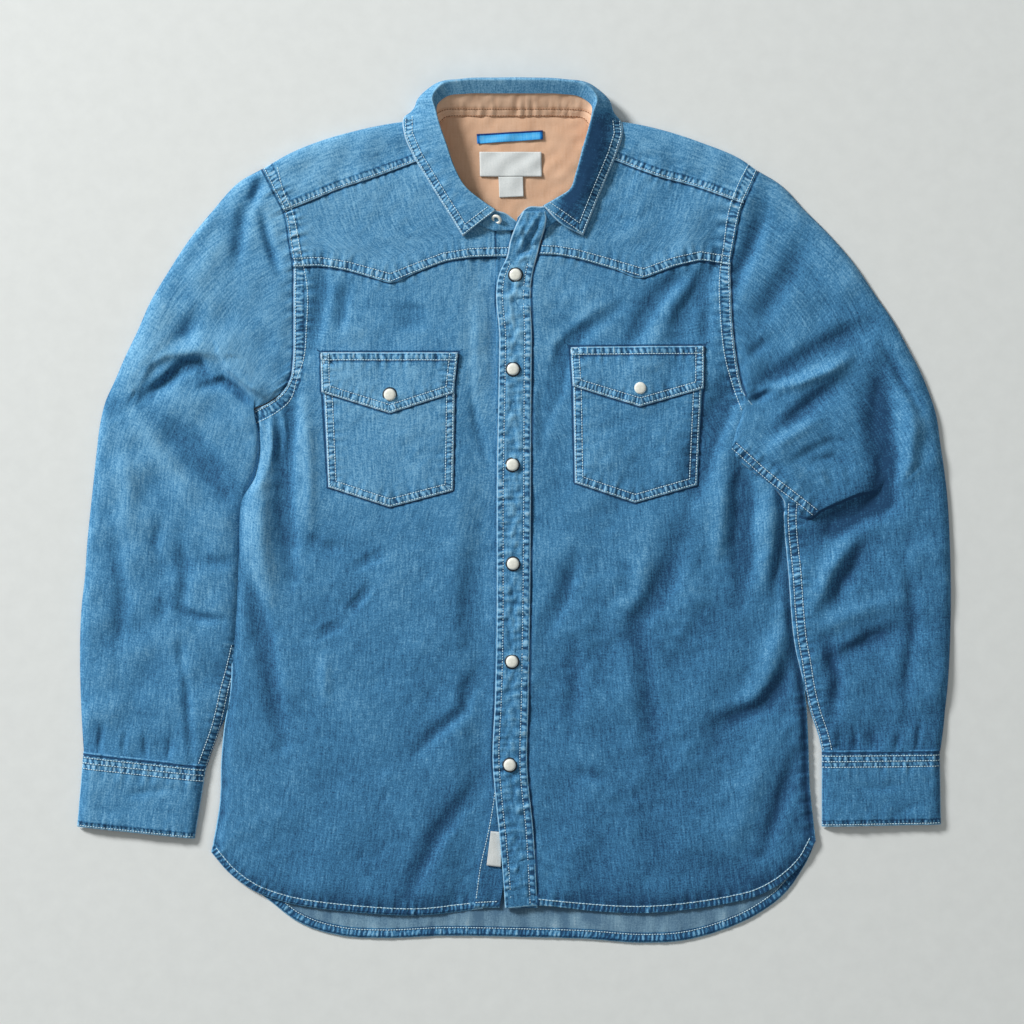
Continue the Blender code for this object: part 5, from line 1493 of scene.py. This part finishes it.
def lining_piece():
    """The yoke's lining, as far as the neck shows it."""

    def height(x, y):
        z = 2.7 + 0.5 * rough(x, y, 34, 83) + 0.22 * rough(x, y, 13, 84)
        return z + 0.9 * smooth((y - 340) / 14), 0.25 * rough(x, y, 30, 85), 0

    plan = np.stack(np.meshgrid(np.linspace(*LINING_X, 90), np.linspace(*LINING_Y, 76)), axis=-1)
    laid_piece("yoke_lining", plan, height, "b", 1, "", [TAN])


def small_piece(node, corners, material, height, seed):
    """A label or a tape, given by its corners from the lower left round."""
    corners = np.array(corners, float)
    u, v = evenly(40), evenly(20)
    foot, top = (
        first * (1 - u[:, None]) + last * u[:, None]
        for first, last in ((corners[0], corners[1]), (corners[3], corners[2]))
    )
    plan = between(foot, top, v)
    x, y = plan[..., 0], plan[..., 1]
    z = height + 0.3 * rough(x, y, 18, seed)
    worn_and_shaded = 0
    if material is TAPE:
        # a paler rib along its middle, and dark at its upper edge and its ends
        v = v[:, None]
        ends = np.minimum(u, 1 - u)[None]
        worn_and_shaded = 0.35 * bell(v - 0.42, 0.25) - 1.2 * (v > 0.84) - 0.9 * (ends < 0.04)
    grid = dressed(raised(plan, z), worn_and_shaded)
    cloth_piece(node, padded_edge(grid, "btlr", 0.9, 0.2), None, [material])


def small_pieces():
    """The tape and the bare labels in the neck, and the bare tag at the hem."""
    small_piece("hanger_loop", HANGER_LOOP, TAPE, LABEL_HEIGHT, 86)
    small_piece("neck_label", NECK_LABEL, LABEL, LABEL_HEIGHT, 86)
    small_piece("size_label", SIZE_LABEL, LABEL, LABEL_HEIGHT, 86)
    small_piece("hem_tag", HEM_TAG, LABEL, HEM_TAG_HEIGHT, 87)


# Snaps


def snap_piece(node, profile, materials, shadow_rows, place, tilt=(0, 0, 1)):
    """A turned piece; its first rows of faces, up to shadow_rows, take the second material, a painted
    shadow.
    """
    angles = np.arange(SNAP_STEPS) * 2 * np.pi / SNAP_STEPS
    ring = np.stack([np.cos(angles), np.sin(angles)], axis=-1)
    points = np.array([raised(ring * radius, np.full(SNAP_STEPS, height)) for radius, height in profile])
    faces = grid_faces(len(profile), SNAP_STEPS, loop=True)
    made = smooth_mesh(node + "_cap", points.reshape(-1, 3), faces, materials)
    index = np.arange(len(faces)) < shadow_rows * SNAP_STEPS
    made.data.polygons.foreach_set("material_index", index.astype(np.int32))
    made.location = Vector(place) * MM
    made.rotation_mode = "QUATERNION"
    made.rotation_quaternion = Vector((0, 0, 1)).rotation_difference(Vector(tilt).normalized())
    finish_piece(made, node)


def snap_pieces():
    """The caps down the placket and on the flaps, and the open ring in the neck."""
    for number, spot in enumerate(PLACKET_SNAPS, 1):
        place = (*spot, PLACKET_SNAP_HEIGHT)
        snap_piece(f"placket_snap_{number}", SNAP_CAP, [PEARL, SNAP_SHADOW], SNAP_SHADOW_ROWS, place)
    for side, pocket in POCKETS.items():
        place = (*pocket["snap"], BODY_HEIGHT + 0.2 + 2 * LAYER)
        snap_piece(f"{side}_pocket_snap", SNAP_CAP, [PEARL, SNAP_SHADOW], SNAP_SHADOW_ROWS, place)
    snap_piece("neck_snap_ring", SNAP_RING, [PEARL], 0, NECK_RING, NECK_RING_AXIS)


# Stitches


def stitch_blocks(line, pitch, cover, spin):
    """The points of a row's stitches: for each one, rings along it with STITCH_SIDES points."""
    lengths = steps_of(line[:, :2])
    total = lengths.sum()
    number = max(int(total / pitch), 1)
    centres = (np.arange(number) + 0.5) * total / number
    half = total / number * cover / 2
    place = summed(lengths)
    start, stop, middle = (points_at(line, place, at) for at in (centres - half, centres + half, centres))
    run = stop - start
    length = np.linalg.norm(run, axis=1)
    ahead = run / length[:, None]
    side = np.column_stack([-ahead[:, 1], ahead[:, 0], np.zeros(number)])
    side /= np.linalg.norm(side, axis=1)[:, None]
    lean = spin.normal(0, 0.06, number)
    up = np.cross(ahead, side)
    up *= np.sign(up[:, 2])[:, None]
    thick = THREAD * spin.uniform(0.85, 1.15, number)
    rings = []
    for along_cap, radius, bend in STITCH_RINGS:
        centre = middle + ahead * (along_cap * length)[:, None] + up * (bend * thick + 0.12)[:, None]
        centre = centre + side * (lean * along_cap * length)[:, None]
        for angle in np.arange(STITCH_SIDES) * 2 * np.pi / STITCH_SIDES:
            across = side * (np.cos(angle) * radius * thick)[:, None]
            rings.append(centre + across + up * (np.sin(angle) * radius * thick * 0.8)[:, None])
    return np.array(rings).swapaxes(0, 1)


def stitches(name, rows, material):
    """One object that holds the stitches of many rows, each a line, its pitch and its cover."""
    spin = np.random.default_rng(STITCH_SEED)
    points = np.vstack([stitch_blocks(line, pitch, cover, spin) for line, pitch, cover in rows])
    number, size = points.shape[:2]
    faces = grid_faces(len(STITCH_RINGS), STITCH_SIDES, loop=True)
    faces = (np.arange(number)[:, None, None] * size + faces[None]).reshape(-1, 4)
    finish_piece(smooth_mesh(name, points.reshape(-1, 3), faces, [material]))


def sewn_height(seam, x, y):
    """Top of the cloth that a seam is sewn through, or nothing where there is none."""
    hits = [TREES[name].ray_cast(Vector((x, y, 100)), Vector((0, 0, -1)))[0] for name in seam.on]
    return max((hit.z for hit in hits if hit is not None), default=np.nan)


def stitch_rows():
    """The rows on each piece: a line on its cloth, and the stitches' pitch and cover."""
    rows = {}
    for seam in ALL_SEAMS:
        if not seam.on:
            continue
        heights = np.array([sewn_height(seam, x, y) for x, y in seam.line])
        found = np.flatnonzero(~np.isnan(heights))
        if len(found) < 3:
            continue
        heights = np.interp(np.arange(len(heights)), found, heights[found])
        held = slice(found[0], found[-1] + 1)
        padded = np.pad(heights[held], 1, mode="edge")
        heights = (padded[:-2] + padded[1:-1] + padded[2:]) / 3
        line = np.column_stack([seam.line[held], heights])
        rows.setdefault(seam.on[-1], []).append((line, seam.pitch, seam.cover))
    return rows


# Where the seams run


def doubled(points, near, far, on, straight=False, painted_shadow=0, **settings):
    """Two rows of stitches along a line, at these distances to its left, and a line of painted shadow along
    it.
    """
    shift = shifted_line if straight else shifted
    settings = {"on": (on,), "pucker": 0.45, "straight": straight, **settings}
    rows = [Seam(shift(points, near), band=far - near, **settings), Seam(shift(points, far), **settings)]
    if painted_shadow:
        rows.append(shadow_line(shift(points, -0.8 * np.sign(near)), painted_shadow, straight))
    return rows


def shadow_line(points, painted_shadow=0.8, straight=False):
    """A line of painted shadow where one piece meets or lies over another, without stitches."""
    return Seam(points, painted_shadow=painted_shadow, pucker=0, straight=straight)


def outer_line(points, distance, painted_shadow):
    """The line of painted shadow round a pocket or a flap, this far outside its outline."""
    return shadow_line(shifted_line(points, -distance), painted_shadow, True)


ON_RIGHT = ("right_front", "right_front_yoke", "back_yoke")
ON_LEFT = ("left_front", "left_front_yoke", "back_yoke")
RIGHT_HEM_ROW = shifted(RIGHT_HEM[:-1], 6.0)
LEFT_HEM_ROW = shifted(LEFT_HEM[1:], 6.0)
ON_HEM = {"pucker": 0.55, "band": -5.5, "pitch": 3, "cover": 0.96}
# the dark lines here are painted shadow where one piece meets or lies over another
BODY_SEAMS = [
    Seam(shifted(RIGHT_ARMHOLE, 1.6), on=ON_RIGHT, pucker=0.5, band=7.5),
    Seam(RIGHT_ARMHOLE_ROW, on=ON_RIGHT, pucker=0.6),
    Seam(shifted(LEFT_ARMHOLE[:-2], -1.6), on=ON_LEFT, pucker=0.5, band=-7.5),
    Seam(LEFT_ARMHOLE_ROW, on=ON_LEFT, pucker=0.6),
    *doubled((*RIGHT_YOKE[:-1], RIGHT_YOKE_END[0]), 1.2, 7.6, "right_front_yoke", True, 0.9),
    *doubled(LEFT_YOKE[::-1], 1.2, 7.6, "left_front_yoke", True, 0.8),
    Seam(shifted(RIGHT_FORWARD, 1.8), on=("back_yoke",), pucker=0.55, band=5),
    Seam(shifted(LEFT_FORWARD, -1.8), on=("back_yoke",), pucker=0.55, band=-5),
    shadow_line(shifted(RIGHT_FORWARD, -0.8)),
    shadow_line(shifted(LEFT_FORWARD, 0.8)),
    Seam(RIGHT_HEM_ROW, on=("right_front",), **ON_HEM),
    Seam(LEFT_HEM_ROW, on=("left_front",), **ON_HEM),
    shadow_line(RIGHT_HEM_ROW, -0.7),
    shadow_line(LEFT_HEM_ROW, -0.7),
    Seam(side_points(LEFT_SIDE, np.linspace(-290, -165, 40)) - [3.6, 0], pucker=0.5, painted_shadow=0.5),
    shadow_line(((-16.7, 238), (-16.7, 255)), 0.9),
]
POCKET_SEAMS = {}
FLAP_SEAMS = {}


def outline_of(pocket, low, high):
    """The sides and the pointed foot of a pocket, from its outer top corner round."""
    top = pocket[high]
    return np.array((top[0], *pocket[low], top[1]), float)


def pocket_seams(side, pocket):
    """The rows on a pocket and its flap, and the lines of painted shadow round them."""
    outline = outline_of(pocket, "bottom", "top")
    POCKET_SEAMS[side] = doubled(outline, 1.2, 7.0, f"{side}_pocket", True, tick=4.6)
    outline[0, 1] = pocket["flap_bottom"][0][1] - 3
    outline[-1, 1] = pocket["flap_bottom"][2][1] - 3
    BODY_SEAMS.append(outer_line(outline, 0.8, 0.9))
    node = f"{side}_pocket_flap"
    outline = outline_of(pocket, "flap_bottom", "flap_top")
    FLAP_SEAMS[side] = doubled(outline, 1.2, 7.2, node, True, tick=3.5)
    POCKET_SEAMS[side].append(outer_line(outline, 0.9, 0.9))
    for ends in (outline[:2], outline[-2:]):
        BODY_SEAMS.append(outer_line(ends, 0.9, 0.8))
    top = np.array(pocket["flap_top"], float)
    FLAP_SEAMS[side].append(Seam(top - [0, 6.6], on=(node,), pucker=0.5, band=5.4, tick=5, cover=0.9))
    FLAP_SEAMS[side].append(shadow_line(top - [0, 7.9], 0.6))
    BODY_SEAMS.append(shadow_line(top + [0, 1.0]))


def flap_bars():
    """The two short bars of close stitches at the top of the left flap."""
    for x in (66, 90):
        bar = ((x, 149), (x, 142.5))
        FLAP_SEAMS["left"].append(Seam(bar, on=("left_pocket_flap",), pucker=0, pitch=0.9))


for SIDE, POCKET in POCKETS.items():
    pocket_seams(SIDE, POCKET)
flap_bars()
ROW_YS = np.linspace(-353, 250, 160)
LOW_ROW_YS = ROW_YS[ROW_YS < 226]
ON_PLACKET = {"on": ("front_placket",), "pucker": 0.6, "cover": 0.62, "tick": 6.4}
PLACKET_SEAMS = [
    Seam(side_points(LONG_LEFT, LOW_ROW_YS) + [5.6, 0], band=4.6, **ON_PLACKET),
    Seam(side_points(LONG_RIGHT, LOW_ROW_YS) - [6.3, 0], band=-5.2, **ON_PLACKET),
]
BODY_SEAMS.append(shadow_line(side_points(PLACKET_LEFT, ROW_YS) - [0.9, 0], 0.7))
BODY_SEAMS.append(shadow_line(side_points(PLACKET_RIGHT, ROW_YS) + [1.1, 0], 1.1))
ON_UNDERLAP = {"on": ("under_placket",), "pucker": 0.35}
UNDERLAP_SEAMS = [
    Seam(side_points(UNDERLAP_LEFT, np.linspace(-349, -236, 40)) + [1.6, 0], **ON_UNDERLAP),
    Seam(((-35, -352.5), (-15, -351.5)), band=-4.5, **ON_UNDERLAP),
]
LEFT_INNER = [(x, y) for _, _, x, y, _ in LEFT_SLEEVE if -218 < y < 8]
# the lines along the armholes and the fold's crease are painted shadow under the body's edge and in the
# crease
RIGHT_SLEEVE_SEAMS = [
    Seam(shifted(RIGHT_ARMHOLE[:-2], -1.0), pucker=0.3, painted_shadow=0.8),
    *doubled(RIGHT_SLEEVE_SEAM, -1.5, -8.0, "right_sleeve"),
]
LEFT_SLEEVE_SEAMS = [
    Seam(shifted(LEFT_ARMHOLE[:-2], 1.0), pucker=0.3, painted_shadow=0.8),
    *doubled(LEFT_INNER, 1.5, 8.4, "left_sleeve"),
    *doubled(FLAP_EDGE, 1.4, 7.4, "left_sleeve"),
    shadow_line(FLAP_CREASE, 1.0),
]


def cuff_rows(plan, name):
    """Three rows along a cuff's top and one along its foot, and a line of painted shadow where its sleeve
    ends.
    """
    top, bottom = np.array(plan["top"], float), np.array(plan["bottom"], float)
    rows = []
    for distance, pucker, band, tick in CUFF_ROWS:
        line = top + (bottom - top) * distance / CUFF_LENGTH
        rows.append(Seam(line, on=(name,), pucker=pucker, band=band, tick=tick))
    return [*rows, shadow_line(top + (bottom - top) * 0.006, 1)]


RIGHT_CUFF_SEAMS = cuff_rows(RIGHT_CUFF, "right_cuff")
LEFT_CUFF_SEAMS = cuff_rows({end: line[::-1] for end, line in LEFT_CUFF.items()}, "left_cuff")
LEAF = np.array(COLLAR, float)[:, 6:8]
RIGHT_LEAF = np.vstack([(-19, 267.5), LEAF[:7]])
LEFT_LEAF = np.vstack([(28, 271), LEAF[:14:-1]])
COLLAR_SEAMS = []
for LINE, AWAY in ((RIGHT_LEAF, -1), (LEFT_LEAF, 1)):
    ROW = {"on": ("collar",), "straight": True}
    COLLAR_SEAMS.append(Seam(shifted_line(LINE, 7.2 * AWAY), pucker=0.35, band=-5.8 * AWAY, tick=3.6, **ROW))
    COLLAR_SEAMS.append(Seam(shifted_line(LINE, 1.2 * AWAY), pucker=0.2, **ROW))
STAND = np.array(COLLAR, float)[5:17, 9:11]
STAND_SEAMS = [
    Seam(shifted(STAND, 1.0), on=("collar_stand",), pucker=0.25),
    Seam(shifted(STAND, 6.6), on=("collar_stand",), pucker=0.4),
    shadow_line(shifted(STAND, 0.0), 0.35),
    shadow_line(shifted(STAND, 7.6), 0.35),
]
BACK_SEAMS = [Seam(shifted(BACK_HEM, 7.4), on=("back_panel",), pucker=0.4, band=-6.2, tick=4)]
ALL_SEAMS = [*BODY_SEAMS, *PLACKET_SEAMS, *UNDERLAP_SEAMS, *RIGHT_SLEEVE_SEAMS, *LEFT_SLEEVE_SEAMS]
ALL_SEAMS += [*RIGHT_CUFF_SEAMS, *LEFT_CUFF_SEAMS, *COLLAR_SEAMS, *STAND_SEAMS, *BACK_SEAMS]
for SIDE in POCKETS:
    ALL_SEAMS += POCKET_SEAMS[SIDE] + FLAP_SEAMS[SIDE]


# The scene


def studio():
    """A pale plaster floor, a low light from the upper left and a weak one to fill."""
    bpy.ops.mesh.primitive_plane_add(size=12, location=(0, 0, -0.0006))
    floor = bpy.context.object
    floor.name = "floor"
    floor.data.materials.append(plain_material("plaster", (0.80, 0.825, 0.81), 0.9, 0.02, 60, 0.2))
    for name, place, size, power in LIGHTS:
        data = bpy.data.lights.new(name, "AREA")
        data.shape = "DISK"
        data.size = size
        data.energy = power
        lamp = bpy.data.objects.new(name, data)
        lamp.location = place
        lamp.rotation_euler = (-Vector(place)).to_track_quat("-Z", "Y").to_euler()
        bpy.context.scene.collection.objects.link(lamp)
    world = bpy.data.worlds.new("studio")
    world.use_nodes = True
    connect(world.node_tree.nodes["Background"], Color=(0.97, 1.0, 0.985, 1), Strength=0.235)
    bpy.context.scene.world = world
    bpy.context.scene.view_settings.view_transform = "Standard"


def camera():
    """The photo's view, straight down."""
    data = bpy.data.cameras.new("camera")
    data.lens = 85
    data.sensor_width = 36
    data.clip_end = 50
    made = bpy.data.objects.new("camera", data)
    made.location = CAMERA_PLACE
    bpy.context.scene.collection.objects.link(made)
    bpy.context.scene.camera = made


camera()
studio()
back_panel_piece()
lining_piece()
small_pieces()
back_yoke_piece()
for SIDE in POCKETS:
    front_piece(SIDE)
    front_yoke_piece(SIDE)
under_placket_piece()
front_placket_piece()
for SIDE in POCKETS:
    pocket_piece(SIDE, flap=False)
    pocket_piece(SIDE, flap=True)
for SIDE in POCKETS:
    sleeve_piece(SIDE)
    cuff_piece(SIDE)
collar_piece()
stand_piece()
snap_pieces()
for NODE, ROWS in stitch_rows().items():
    stitches(NODE + "_stitches", ROWS, STAND_THREAD if NODE == "collar_stand" else THREAD_CLOTH)
